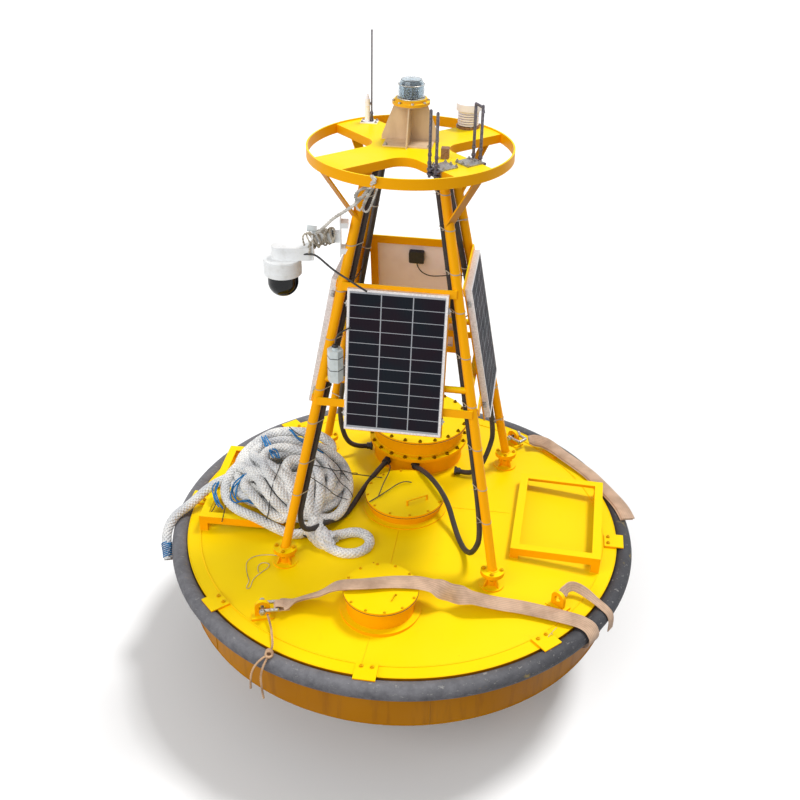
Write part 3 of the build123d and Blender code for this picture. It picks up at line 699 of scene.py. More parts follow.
@dataclass(frozen=True)
class BraidedRope(Finish):
    """A soft white polyester braid: a lattice of yarns with blue-grey patches of dirt and painted shade, painted shade
    in the lattice's hollows, and a few coloured tracers.
    """

    along: float  # the length of the cord, in metres
    around: float  # the cord's girth, in metres
    clean: str = "#FFFEFA"
    # blue-grey patches: dirt, and painted shade for the shade that lies over the heap
    soil_and_shade: str = "#A6ACB8"
    tracer: str = "#5C84A8"
    pick: float = 0.023  # the lattice's spacing

    def shade(self, tree: bpy.types.NodeTree, shader: bpy.types.Node) -> None:
        """Builds the braid's lattice on the cord's own UV map, with painted shade in its hollows."""
        coords = add_node(tree, "SeparateXYZ", inputs={0: add_node(tree, "TexCoord").outputs["UV"]})
        turns = max(3, round(self.around / self.pick))
        run = self.sums(tree, "MULTIPLY", coords.outputs["X"], math.tau * self.along / self.pick)
        lap = self.sums(tree, "MULTIPLY", coords.outputs["Y"], math.tau * turns)
        left = self.sums(tree, "SINE", self.sums(tree, "ADD", run, lap))
        right = self.sums(tree, "SINE", self.sums(tree, "SUBTRACT", run, lap))
        lattice = self.band(tree, self.sums(tree, "ADD", left, right), -2.0, 2.0)
        wool = self.grain(tree, 0.0022, 3.0)
        # blue-grey patches at random: part dirt, part painted shade
        soil = self.band(tree, self.grain(tree, 0.13, 5.0, rough=0.6), 0.40, 0.62)
        colour = self.blend(tree, self.sums(tree, "MULTIPLY", soil, 0.55), self.clean, self.soil_and_shade)
        # painted shade: the lattice's hollows are greyed
        colour = self.blend(tree, self.band(tree, lattice, 0.38, 0.06, (0.0, 0.40)), colour, "#80828C")
        flecks = self.band(tree, self.grain(tree, 0.012, 2.0), 0.72, 0.76, (0.0, 0.6))
        colour = self.blend(tree, flecks, colour, self.tracer)
        tree.links.new(colour, shader.inputs["Base Color"])
        shader.inputs["Roughness"].default_value = 0.85
        shader.inputs["Sheen Weight"].default_value = 0.25
        height = self.sums(tree, "ADD", lattice, self.sums(tree, "MULTIPLY", wool, 0.3))
        self.relief(tree, shader, height, self.pick * 0.30)


@dataclass(frozen=True)
class WovenWebbing(Finish):
    """Flat polyester webbing: fine ribs across, stripes along, soiled by handling."""

    base: str = "#DDBA9C"
    soiled: str = "#9C7C64"
    width: float = 0.060

    def shade(self, tree: bpy.types.NodeTree, shader: bpy.types.Node) -> None:
        """Builds ribs 3 mm apart, drawn coarser than the weave so that they show, and lengthwise stripes."""
        place = self.place(tree, uv=True)
        ribs = add_node(tree, "TexWave", {"bands_direction": "X"}, {"Vector": place, "Scale": 105.0})
        stripes = add_node(tree, "TexWave", {"bands_direction": "Y"}, {"Vector": place, "Scale": 26.0})
        soil = self.band(tree, self.grain(tree, 0.11, 6.0, rough=0.62), 0.35, 0.72, (0.0, 0.85))
        colour = self.blend(tree, soil, self.base, self.soiled)
        lines = self.band(tree, stripes.outputs["Fac"], 0.75, 1.0, (0.0, 0.35))
        colour = self.blend(tree, lines, colour, "#7B5B44")
        tree.links.new(colour, shader.inputs["Base Color"])
        shader.inputs["Roughness"].default_value = 0.8
        shader.inputs["Sheen Weight"].default_value = 0.2
        both = self.sums(tree, "ADD", ribs.outputs["Fac"], self.sums(tree, "MULTIPLY", stripes.outputs["Fac"], 0.6))
        self.relief(tree, shader, both, 0.0007)


@dataclass(frozen=True)
class TwistedYarn(Finish):
    """Thin laid line, its strands modelled, its yarn drawn as fine grain."""

    base: str
    soiled: str

    def shade(self, tree: bpy.types.NodeTree, shader: bpy.types.Node) -> None:
        """Builds the line's colour and its wool."""
        soil = self.band(tree, self.grain(tree, 0.06, 5.0), 0.35, 0.7, (0.0, 0.8))
        tree.links.new(self.blend(tree, soil, self.base, self.soiled), shader.inputs["Base Color"])
        shader.inputs["Roughness"].default_value = 0.85
        self.relief(tree, shader, self.grain(tree, 0.0016, 3.0), 0.0005)


@dataclass(frozen=True)
class RibbedConduit(Finish):
    """Black corrugated polyethylene, its ridges 7 mm apart, with patches of brown dust."""

    along: float

    def shade(self, tree: bpy.types.NodeTree, shader: bpy.types.Node) -> None:
        """Builds the ridges along the UV map and the dust."""
        coords = add_node(tree, "SeparateXYZ", inputs={0: add_node(tree, "TexCoord").outputs["UV"]})
        ridge = self.sums(tree, "SINE", self.sums(tree, "MULTIPLY", coords.outputs["X"], math.tau * self.along / 0.007))
        dust = self.band(tree, self.grain(tree, 0.07, 5.0), 0.35, 0.75, (0.0, 0.6))
        tree.links.new(self.blend(tree, dust, "#171416", "#4A3A34"), shader.inputs["Base Color"])
        shader.inputs["Roughness"].default_value = 0.5
        self.relief(tree, shader, ridge, 0.0009)


# painted shade: the hull's side and under colours are darkened for the shade under the fender
ENAMEL_HULL = MarineEnamel("hull_enamel", side="#AE6E00", under="#6E4200", wear=1.0, drips=True)
# painted shade: the beads' top colour is darkened to match the hull's painted shade
ENAMEL_BEADS = MarineEnamel("hull_bead_enamel", top="#B07600", side="#9C6400", under="#6E4200", wear=1.2)
ENAMEL_DECK = MarineEnamel("deck_enamel", wear=0.9)
ENAMEL_TOWER = MarineEnamel("tower_enamel", top="#FFDE00", side="#FFB000", under="#C07A00", wear=0.6)
ENAMEL_LANTERN = MarineEnamel("lantern_enamel", top="#FFD22A", side="#F5B428", wear=0.4)
ENAMEL_BOLTS = MarineEnamel("painted_bolts", top="#F2C400", side="#D08A00", wear=1.0)
PRIMER = PrimerPaint("cream_primer")
RUBBER = FenderRubber("fender_rubber_finish")
CELLS = SiliconCells("silicon_cells")
BACKSHEET = SmoothPlastic("panel_backsheet", "#FFEFEE", "#E2C6BE", 0.25, 0.45, 0.09)
GRID_LINES = SmoothPlastic("cell_gaps", "#A2A5AC", "#85888E", 0.3, 0.6, 0.05)
BLACK_PLASTIC = SmoothPlastic("black_moulding", "#17171A", "#4B423B", 0.35, 0.42, 0.02)
WHITE_CASE = SmoothPlastic("white_moulding", "#F2F4F5", "#B9B4AA", 0.3, 0.32, 0.04)
GREY_CASE = SmoothPlastic("grey_abs_case", "#D3DCDE", "#8E9898", 0.35, 0.38, 0.03)
SCREEN_WHITE = SmoothPlastic("screen_white", "#FFFAFF", "#F0CDBA", 0.4, 0.45, 0.03)
ZIP_TIE = SmoothPlastic("nylon_tie", "#B4AB9A", "#7C705E", 0.3, 0.45, 0.01)
BLACK_CABLE = SmoothPlastic("black_cable", "#1A191B", "#4C433E", 0.4, 0.45, 0.03)
ALLOY = WornMetal("anodised_alloy", "#EEE9E8", "#CFCAC8", 0.0, 0.3, 0.4)
ZINC = WornMetal("hot_dip_zinc", "#B9B6B2", "#8C8A88", 0.5, 0.85, 0.45)
STAINLESS = WornMetal("stainless_fixings", "#D4D0CA", "#9C958C", 0.35, 0.9, 0.33)
DARK_ROD = WornMetal("dark_coated_rod", "#77727A", "#4A464C", 0.15, 0.6, 0.4)
BRACKET_STEEL = WornMetal("bracket_steel", "#A8B8C0", "#7F929C", 0.15, 0.4, 0.4)
BROWN_PLATE = WornMetal("brown_stained_plate", "#A87E5C", "#7E5A3E", 0.5, 0.3, 0.55)
LENS = ClearGlass("clear_lens_plastic", "#DAE4EA", 1.0, 0.02)
SMOKE = ClearGlass("smoked_dome_plastic", "#0E1118", 0.5, 0.03, 0.2)
LAMP = SmoothPlastic("lamp_moulding", "#3A444E", "#20262C", 0.4, 0.3, 0.01)
TAN_LINE = TwistedYarn("tan_line", "#D9B48E", "#8E6A50")
GREY_LINE = TwistedYarn("grey_line", "#E4E0D8", "#7E786E")
OLD_LINE = TwistedYarn("old_brown_line", "#D2C9B8", "#6E6250")
BLUE_LINE = TwistedYarn("blue_line", "#2C86C4", "#1C4E7E")
BLACK_LINE = TwistedYarn("black_wire", "#1E1D20", "#47413C")


# ---------------------------------------------------------------- studio


@dataclass
class Studio:
    """The camera, the floor and the plain soft light."""

    eye: tuple[float, float, float] = (0.6243, -4.6335, 4.4377)
    away: tuple[float, float, float] = (0.1187, -0.8449, 0.5216)  # from the object to the camera
    roll: float = 1.09  # degrees
    lens: float = 46.62
    sky: float = 0.48
    sun: float = 2.0
    fill: float = 1.7

    def build(self) -> None:
        """Makes the camera first, and then the floor and the lights."""
        self.camera()
        self.floor()
        self.lights()
        bpy.context.scene.view_settings.view_transform = "Standard"

    def camera(self) -> None:
        """Places the camera and makes it the scene's."""
        back = Vector(self.away).normalized()
        right = Vector((-back.y, back.x, 0)).normalized()
        up = right.cross(-back)
        turn = math.radians(self.roll)
        x = right * math.cos(turn) + up * math.sin(turn)
        y = up * math.cos(turn) - right * math.sin(turn)
        data = bpy.data.cameras.new("camera")
        data.lens = self.lens
        data.clip_end = 200.0
        camera = bpy.data.objects.new("camera", data)
        camera.matrix_world = Matrix.Translation(Vector(self.eye)) @ Matrix((x, y, back)).transposed().to_4x4()
        bpy.context.scene.collection.objects.link(camera)
        bpy.context.scene.camera = camera

    def floor(self) -> None:
        """Lays a wide pale floor, which throws less light on the object than it shows."""
        bm = bmesh.new()
        bmesh.ops.create_grid(bm, x_segments=1, y_segments=1, size=60.0)
        mesh = bpy.data.meshes.new("floor")
        bm.to_mesh(mesh)
        bm.free()
        material = bpy.data.materials.new("floor_paper")
        material.use_nodes = True
        tree = material.node_tree
        tree.nodes.clear()
        rays = add_node(tree, "LightPath")
        seen = add_node(tree, "Math", {"operation": "ADD", "use_clamp": True},
                        {0: rays.outputs["Is Camera Ray"], 1: rays.outputs["Is Glossy Ray"]})
        seen = add_node(tree, "Math", {"operation": "ADD", "use_clamp": True},
                        {0: seen.outputs[0], 1: rays.outputs["Is Transmission Ray"]})
        colour = add_node(tree, "Mix", {"data_type": "RGBA"},
                          {0: seen.outputs[0], 6: linear("#8A8A8A"), 7: linear("#FDFDFD")})
        paper = add_node(tree, "BsdfDiffuse", inputs={"Color": colour.outputs[2]})
        add_node(tree, "OutputMaterial", inputs={"Surface": paper.outputs[0]})
        mesh.materials.append(material)
        ground = bpy.data.objects.new("floor", mesh)
        bpy.context.scene.collection.objects.link(ground)

    def lights(self) -> None:
        """Sets a soft high light from the back right, a weak one from the front, and an even sky."""
        for name, energy, spread, way in (("key", self.sun, 14, (0.45, 0.38, 1.25)),
                                          ("fill", self.fill, 60, (-0.6, -0.85, 0.45))):
            data = bpy.data.lights.new(name, "SUN")
            data.energy = energy
            data.angle = math.radians(spread)
            light = bpy.data.objects.new(name, data)
            light.rotation_euler = Vector(way).to_track_quat("Z", "Y").to_euler()
            bpy.context.scene.collection.objects.link(light)
        world = bpy.data.worlds.new("studio")
        bpy.context.scene.world = world
        world.use_nodes = True
        tree = world.node_tree
        tree.nodes.clear()
        rays = add_node(tree, "LightPath")
        sky = add_node(tree, "Background", inputs={"Color": (1, 1, 1, 1), "Strength": self.sky})
        white = add_node(tree, "Background", inputs={"Color": (1, 1, 1, 1), "Strength": 1.0})
        seen = add_node(tree, "Math", {"operation": "MAXIMUM"},
                        {0: rays.outputs["Is Camera Ray"], 1: rays.outputs["Is Transmission Ray"]})
        seen = add_node(tree, "Math", {"operation": "MAXIMUM"},
                        {0: seen.outputs[0], 1: rays.outputs["Is Glossy Ray"]})
        mixed = add_node(tree, "MixShader", inputs={0: seen.outputs[0], 1: sky.outputs[0], 2: white.outputs[0]})
        add_node(tree, "OutputWorld", inputs={"Surface": mixed.outputs[0]})


# ---------------------------------------------------------------- cords


def lift(route: Sequence[Sequence[float]]) -> list[tuple[float, float, float]]:
    """Turns a route given in millimetres, its height over the deck edge's plane, into metres."""
    return [(x / 1000, y / 1000, DECK + z / 1000) for x, y, z in route]


@dataclass
class MooringRope:
    """The thick white mooring rope: an eye on the deck, a loose heap on the left frame and a tail."""

    diameter: float = 0.054
    middle: tuple[float, float] = (-0.665, 0.040)
    frame_top: float = 0.879
    # each layer of the heap, from the lowest: half length, half width and how many turns
    layers: tuple = ((0.352, 0.272, 4), (0.332, 0.252, 4), (0.298, 0.222, 3), (0.240, 0.170, 2))
    # the layers of the part that hangs to the deck beside the frame
    lobe: tuple = ((0.122, 0.205, 2), (0.112, 0.195, 2), (0.095, 0.175, 1))
    lobe_middle: tuple[float, float] = (-0.470, 0.060)
    # the spliced eye on the deck and the strand that climbs from it, in millimetres
    eye: tuple = ((-366, -318, 78), (-306, -280, 74), (-226, -236, 72), (-150, -255, 70), (-126, -330, 66), (-172, -398, 62),
                  (-254, -420, 60), (-324, -398, 64), (-400, -350, 74), (-442, -258, 104), (-476, -232, 165),
                  (-494, -190, 235), (-503, -110, 292), (-530, -20, 316), (-560, 60, 290), (-520, 130, 200))
    # the strands over the heap's top, one after the other, in millimetres; they dive into it between their runs
    over: tuple = (
        (-470, 150, 240), (-440, 245, 285), (-501, 258, 338), (-581, 265, 356), (-678, 253, 362), (-779, 251, 352),
        (-857, 212, 322), (-930, 110, 290), (-948, 11, 268), (-900, -56, 288), (-830, -100, 304), (-743, -114, 316),
        (-678, -158, 298), (-617, -187, 274), (-565, -212, 210), (-500, -222, 130), (-425, -215, 118),
        (-361, -175, 100), (-322, -105, 112), (-306, -20, 160), (-318, 50, 205), (-352, 120, 238), (-405, 172, 262),
        (-470, 200, 286), (-545, 196, 318), (-624, 194, 334), (-707, 208, 330), (-790, 200, 314), (-862, 140, 304),
        (-880, 60, 306), (-810, -17, 332), (-724, -78, 338), (-661, -113, 328), (-611, -151, 302), (-585, -212, 252),
        (-572, -252, 190), (-598, -285, 138), (-660, -282, 152), (-735, -262, 190), (-806, -215, 238),
        (-872, -160, 248), (-870, -95, 268), (-800, -120, 296), (-742, -195, 274), (-687, -240, 238),
        (-630, -262, 196), (-575, -265, 150), (-530, -220, 110), (-470, -160, 140), (-412, -125, 218),
        (-388, -66, 262), (-413, 1, 294), (-458, 54, 320), (-524, 78, 342), (-605, 74, 356), (-668, 90, 360),
        (-750, 85, 352), (-800, 20, 346), (-775, -70, 340), (-724, -137, 322), (-669, -196, 290), (-612, -232, 248),
        (-560, -222, 200), (-560, -150, 240), (-640, -100, 320), (-660, -60, 356), (-630, -30, 362),
        (-575, -10, 356), (-520, -5, 346), (-474, -42, 322), (-446, -100, 280), (-438, -158, 236), (-446, -208, 180),
        (-458, -250, 120), (-480, -282, 80), (-520, -300, 66), (-575, -312, 66), (-640, -312, 92), (-705, -300, 112),
        (-775, -275, 126), (-850, -250, 130), (-925, -208, 130), (-982, -150, 140), (-1004, -92, 176),
        (-985, -40, 226), (-940, -10, 272), (-905, 50, 290), (-930, 110, 262), (-975, 90, 200))
    tail: tuple = ((-1000, 50, 150), (-1070, 10, 130), (-1125, -50, 112), (-1168, -95, 78), (-1220, -150, 44),
                   (-1266, -216, 30), (-1290, -286, -12), (-1282, -342, -62), (-1262, -378, -98),
                   (-1252, -408, -130))

    def coils(self, middle: Sequence[float], layers: Sequence[Sequence[float]], ground, start: float) -> list[Vector]:
        """Winds turns, layer on layer, each a little off the last.

        Args:
            middle: the turns' middle.
            layers: each layer's half length, half width and turns.
            ground: gives the height below a place.
            start: the angle where the turns start, in radians.

        Returns:
            The turns' points.
        """
        pitch = self.diameter * 1.03
        turns = []
        for level, (length, width, count) in enumerate(layers):
            insets = list(range(count)) if level % 2 == 0 else list(range(count))[::-1]
            turns += [(length - pitch * i, width - pitch * i, level) for i in insets]
        turns.append(turns[-1])
        made = []
        steps = 14
        for index in range((len(turns) - 1) * steps):
            whole, share = divmod(index, steps)
            share /= steps
            length, width, level = (a + (b - a) * share for a, b in zip(turns[whole], turns[whole + 1]))
            turn = math.tau * share + start
            loose = Vector((1.2 * math.cos(turn), 1.2 * math.sin(turn), 0.31 * (whole + share)))
            spread = 1 + 0.07 * noise.noise(loose * 1.3)
            x = middle[0] + length * spread * math.cos(turn)
            y = middle[1] + max(width, 0.05) * spread * math.sin(turn)
            rise = 0.050 * level + 0.010 * noise.noise(loose * 2.1 + Vector((5, 0, 0)))
            made.append(Vector((x, y, ground(x, y) + self.diameter / 2 + max(0.0, rise))))
        return made

    def route(self) -> list[Vector]:
        """Joins the eye, the turns, the crossing strands and the tail."""
        lobe = self.coils(self.lobe_middle, self.lobe, lambda x, y: deck_height(x, y) + 0.004, 1.2)
        heap = self.coils(self.middle, self.layers, lambda x, y: self.frame_top + 0.004, -1.9)
        return [*map(Vector, lift(self.eye)), *lobe, *heap, *map(Vector, lift(self.over)),
                *map(Vector, lift(self.tail))]

    def eased(self, points: list[Vector]) -> list[Vector]:
        """Opens the bends that are tighter than so thick a rope takes."""
        span, sag = 4, 0.032
        for _ in range(60):
            for index in range(span, len(points) - span):
                middle = (points[index - span] + points[index + span]) / 2
                if (middle - points[index]).length > sag:
                    points[index] = points[index].lerp(middle, 0.12)
        return even(points, 0.016)

    def build(self) -> None:
        """Makes the rope, its splice, the whipping on its end and its lashings."""
        points = self.eased(spline_path(self.route(), 0.016))
        length = length_of(points)
        soft = [p + Vector((0, 0, 0.0015 * noise.noise(p * 40))) for p in points]
        mesh = bevelled_curves([soft], self.diameter / 2, 5)
        finish = BraidedRope("mooring_rope_braid", length, math.pi * self.diameter)
        rope = mesh_object("mooring_rope", mesh, finish.material(),
                           replaces=("rope_heap", "rope_tail", "rope_eye"), smooth=80)
        pieces = [self.splice(), self.end_whipping(points), *self.lashings()]
        log.info("mooring rope is %.2f m long", length)

    def splice(self) -> bpy.types.Object:
        """Makes the swollen splice where the eye closes: tucked strands round the two legs."""
        line = even([Vector(p) for p in lift([(-322, -346, 66), (-372, -340, 74), (-425, -310, 88),
                                              (-462, -258, 122)])], 0.006)
        mesh = bevelled_curves([*strand_lines(line, 5, 0.036, 0.30), *strand_lines(line, 3, 0.014, 0.22)], 0.0235, 4)
        finish = BraidedRope("splice_braid", 0.2, 0.13)
        return mesh_object("rope_splice", mesh, finish.material(), smooth=80)

    def end_whipping(self, points: Sequence[Vector]) -> bpy.types.Object:
        """Binds the rope's end with twine; returns the binding."""
        near = [p for p in points if (p - points[-1]).length < 0.10]
        spin = strand_lines(even(near[:-1], 0.0012), 2, self.diameter / 2 + 0.0015, 0.021)
        mesh = bevelled_curves(spin, 0.0034, 1)
        return mesh_object("rope_whipping", mesh, BLUE_LINE.material(), smooth=80)

    def lashings(self) -> list[bpy.types.Object]:
        """Ties the heap with blue line and thin black wire; returns the lashings."""
        blue = []
        # strands of blue line over the heap, in millimetres; each is laid double or triple
        for route, count in (
                (((-842, 178, 366), (-812, 128, 352), (-780, 60, 372), (-735, 10, 388), (-705, -40, 384)), 4),
                (((-868, -110, 300), (-905, -128, 268), (-935, -146, 225), (-935, -175, 180), (-897, -205, 172),
                  (-841, -222, 205), (-792, -243, 205), (-740, -262, 220)), 3),
                (((-1040, -80, 205), (-1052, -110, 190), (-1046, -150, 176), (-1022, -190, 150), (-990, -205, 120)), 3),
                (((-700, 240, 392), (-640, 180, 372), (-560, 150, 360), (-480, 120, 340)), 2)):
            base = spline_path(lift(route), 0.008)
            for index in range(count):
                aside = Vector((0.0105 * (index - (count - 1) / 2), 0.004 * (index % 2), -0.012))
                blue.append([p + aside + 0.011 * noise.noise_vector(p * 14 + aside * 900) for p in base])
        made = [mesh_object("blue_lashings", bevelled_curves(blue, 0.0042, 1), BLUE_LINE.material(),
                            smooth=80)]
        wires = []
        # each wire's way over the heap, in millimetres
        for route in (((-679, -55, 385), (-675, -135, 352), (-682, -205, 312), (-697, -275, 232), (-704, -325, 150)),
                      ((-508, -127, 340), (-425, -142, 290), (-355, -128, 222), (-300, -70, 150)),
                      ((-425, -4, 340), (-371, -44, 296), (-318, -60, 236), (-278, -40, 150)),
                      ((-510, -63, 362), (-453, -44, 348), (-388, -15, 312), (-312, 54, 262), (-285, 133, 190)),
                      ((-700, 235, 400), (-600, 170, 388), (-500, 110, 366), (-400, 60, 320), (-310, 20, 230)),
                      ((-955, -235, 150), (-966, -262, 118), (-970, -290, 84)),
                      ((-1020, -185, 130), (-1042, -212, 104), (-1058, -240, 80))):
            wires.append([p + 0.012 * noise.noise_vector(p * 11) for p in spline_path(lift(route), 0.012)])
        made.append(mesh_object("heap_wires", bevelled_curves(wires, 0.0026, 1), BLACK_LINE.material(),
                                smooth=80))
        band = spline_path(lift([(-528, -285, 96), (-505, -322, 66), (-455, -322, 72), (-420, -290, 106),
                                 (-395, -225, 120), (-352, -165, 110)]), 0.012)
        made.append(mesh_object("heap_band", bevelled_curves([band], 0.0055, 2), BLACK_LINE.material(),
                                smooth=80))
        return made


@dataclass
class Strap:
    """A flat webbing sling: a band of two plies along a route."""

    name: str
    node: str
    route: tuple
    width: float = 0.060
    thick: float = 0.006
    twists: tuple = ()  # share of the length, turn in degrees
    plies: tuple = (0.0,)  # each ply's sideways offset
    exit_at: int = 0

    def roll(self, share: float) -> float:
        """Returns the band's turn, in radians, at a share of its length."""
        knots = ((0.0, 0.0), *self.twists, (1.0, 0.0))
        for (a, first), (b, second) in zip(knots[:-1], knots[1:]):
            if a <= share <= b:
                part = (share - a) / (b - a)
                ease = part * part * (3 - 2 * part)
                return math.radians(first + (second - first) * ease)
        return 0.0

    def frames(self, points: Sequence[Vector]) -> list[Matrix]:
        """Places the band's section: X across it, level but for its twists."""
        made = []
        across = tangents(points)[0].cross(UP).normalized()
        for index, (point, along) in enumerate(zip(points, tangents(points))):
            level = along.cross(UP)
            if level.length > 0.35:
                across = level.normalized() if level.dot(across) > 0 else -level.normalized()
            across = (across - along * across.dot(along)).normalized()
            place = Matrix.Translation(point) @ Matrix((across, along.cross(across), along)).transposed().to_4x4()
            made.append(place @ Matrix.Rotation(self.roll(index / (len(points) - 1)), 4, "Z"))
        return made

    def build(self, far_end: str = "bare", with_pieces: Sequence[bpy.types.Object] = ()) -> bpy.types.Object:
        points = spline_path(lift(self.route), 0.012)
        maker = Maker()
        places = self.frames(points)
        half, edge = self.width / 2, self.thick / 2
        for ply, aside in enumerate(self.plies):
            drop = -ply * self.thick * 1.15
            outline = [(-half, -edge * 0.3), (-half * 0.93, -edge), (half * 0.93, -edge), (half, -edge * 0.3),
                       (half, edge * 0.3), (half * 0.93, edge), (0.0, edge * 0.8), (-half * 0.93, edge),
                       (-half, edge * 0.3)]
            moved = []
            for index, place in enumerate(places):
                wander = aside + 0.003 * noise.noise(Vector((index * 0.06, ply * 7.0, 1.0)))
                moved.append(place @ Matrix.Translation((wander, drop, 0)))
            maker.profile(points, outline, frames=moved)
        self.unwrap(maker, points)
        piece = maker.place(self.name, WovenWebbing("sling_webbing").material(), Slot.WEB, replaces=(self.node,),
                            smooth=50)
        return piece

    def unwrap(self, maker: Maker, points: Sequence[Vector]) -> None:
        """Writes UVs in metres: along the strap and across it."""
        layer = maker.bm.loops.layers.uv.new("UVMap")
        places = self.frames(points)
        gap = length_of(points) / (len(points) - 1)
        inverse = [p.inverted() for p in places]
        for vert in maker.bm.verts:
            nearest = min(range(len(points)), key=lambda i: (points[i] - vert.co).length_squared)
            across = (inverse[nearest] @ vert.co).x
            for loop in vert.link_loops:
                loop[layer].uv = (nearest * gap, across)


@dataclass
class Line:
    """A thin laid line of three strands."""

    name: str
    route: tuple
    radius: float
    finish: Finish
    node: str | None = None
    strands: int = 3
    far_end: str = "bare"
    stiffness: str = "limp"
    lay: str = "loose"
    slot_name: Slot = Slot.LINE

    def build(self, with_pieces: Sequence[bpy.types.Object] = ()) -> bpy.types.Object:
        points = spline_path(lift(self.route), self.radius)
        if self.strands > 1:
            lines = strand_lines(points, self.strands, self.radius * 0.52, self.radius * 7)
            mesh = bevelled_curves(lines, self.radius * 0.48, 1)
        else:
            mesh = bevelled_curves([points], self.radius, 2)
        piece = mesh_object(self.name, mesh, self.finish.material(),
                            replaces=(self.node,) if self.node else (), smooth=80)
        return piece


SLING_FRONT = Strap(
    "sling_front_webbing", "sling_front",
    ((-484, -856, 60), (-430, -826, 62), (-369, -792, 68), (-300, -782, 92), (-235, -776, 146), (-172, -770, 162),
     (-82, -751, 163), (40, -712, 161), (120, -697, 161), (194, -690, 160), (266, -690, 146), (343, -694, 126),
     (445, -690, 102), (520, -676, 78), (600, -660, 54), (682, -648, 38), (749, -649, 30), (851, -654, 22),
     (952, -668, 16), (1010, -684, 16), (1052, -704, 8), (1072, -717, -14), (1079, -721, -41), (1073, -717, -70),
     (1054, -705, -90), (1030, -690, -96)), width=0.090,
    twists=((0.04, -35.0), (0.20, -8.0), (0.44, 4.0), (0.50, 74.0), (0.57, 6.0)), plies=(0.0, 0.007))
SLING_REAR = Strap(
    "sling_rear_webbing", "sling_rear",
    ((674, 855, 58), (735, 868, 50), (795, 852, 42), (895, 758, 28), (985, 680, 18), (1050, 612, 14),
     (1105, 527, 13), (1165, 436, 12), (1215, 348, 12), (1246, 275, 12), (1264, 205, 11)), width=0.075,
    twists=((0.04, 25.0), (0.25, 0.0)), plies=(0.0, -0.008))
SLING_SIDE = Strap(
    "sling_side_webbing", "sling_side",
    ((905, -548, 58), (925, -500, 66), (962, -472, 64), (1020, -484, 44), (1074, -520, 26), (1124, -558, 14),
     (1153, -573, -4), (1165, -580, -36), (1167, -581, -72), (1166, -580, -105)), width=0.050,
    twists=((0.12, 60.0), (0.30, 40.0), (0.55, 0.0)))
TAG_LINE = Line(
    "tag_line_long", ((-545, -915, 40), (-512, -975, 20), (-490, -1040, 18), (-470, -1100, 16), (-474, -1160, 16),
                      (-490, -1215, -4), (-499, -1240, -50), (-497, -1240, -130), (-492, -1236, -200)), 0.006,
    TAN_LINE, "tag_line")


TOWER = Vector((-0.008, 0.062, 0.0))  # the tower's axis on the deck


@dataclass
class Conduit:
    """A corrugated conduit from the platform down a leg and over the deck."""

    name: str
    leg: int  # the leg's angle
    away: tuple[float, float]
    stop: float  # where it leaves the leg, in millimetres over the deck edge
    route: tuple
    radius: float = 0.015

    def beside_leg(self, height: float) -> tuple[float, float, float]:
        """Returns the point beside the leg at a height, in millimetres over the deck edge."""
        foot, head = (777.0, 114.0), (238.3, 2110.0)
        out = foot[0] + (head[0] - foot[0]) * (height - foot[1]) / (head[1] - foot[1])
        spot = polar(out, self.leg) + TOWER * 1000
        return (spot.x + self.away[0], spot.y + self.away[1], height)

    def build(self) -> None:
        heights = [2090.0 + (self.stop - 2090.0) * i / 3 for i in range(4)]
        points = spline_path(lift([*map(self.beside_leg, heights), *self.route]), 0.015)
        length = length_of(points)
        mesh = bevelled_curves([points], self.radius, 4)
        finish = RibbedConduit(f"{self.name}_plastic", length)
        piece = mesh_object(self.name, mesh, finish.material(), replaces=(self.name,), smooth=80)


CONDUITS = (
    Conduit("conduit_front_right", 315, (-35, 35), 290,
            ((430, -385, 130), (385, -290, 60), (340, -200, 64), (300, -105, 96), (262, -20, 150), (205, 90, 168),
             (135, 205, 166), (65, 300, 150), (20, 368, 118))),
    Conduit("conduit_back_right", 45, (-35, -35), 320,
            ((440, 500, 190), (400, 445, 100), (340, 420, 66), (272, 440, 66))),
    Conduit("conduit_front_left", 225, (35, 35), 350,
            ((-486, -415, 300), (-488, -408, 240), (-476, -392, 180), (-442, -345, 143), (-400, -272, 130),
             (-370, -197, 97), (-328, -124, 68), (-298, -50, 67), (-276, 40, 72), (-247, 146, 92), (-200, 285, 110),
             (-160, 380, 120))),
    Conduit("conduit_back_left", 135, (35, -35), 390, ((-440, 520, 170), (-370, 560, 84), (-300, 600, 76))),
)

# ---------------------------------------------------------------- the hull and its deck


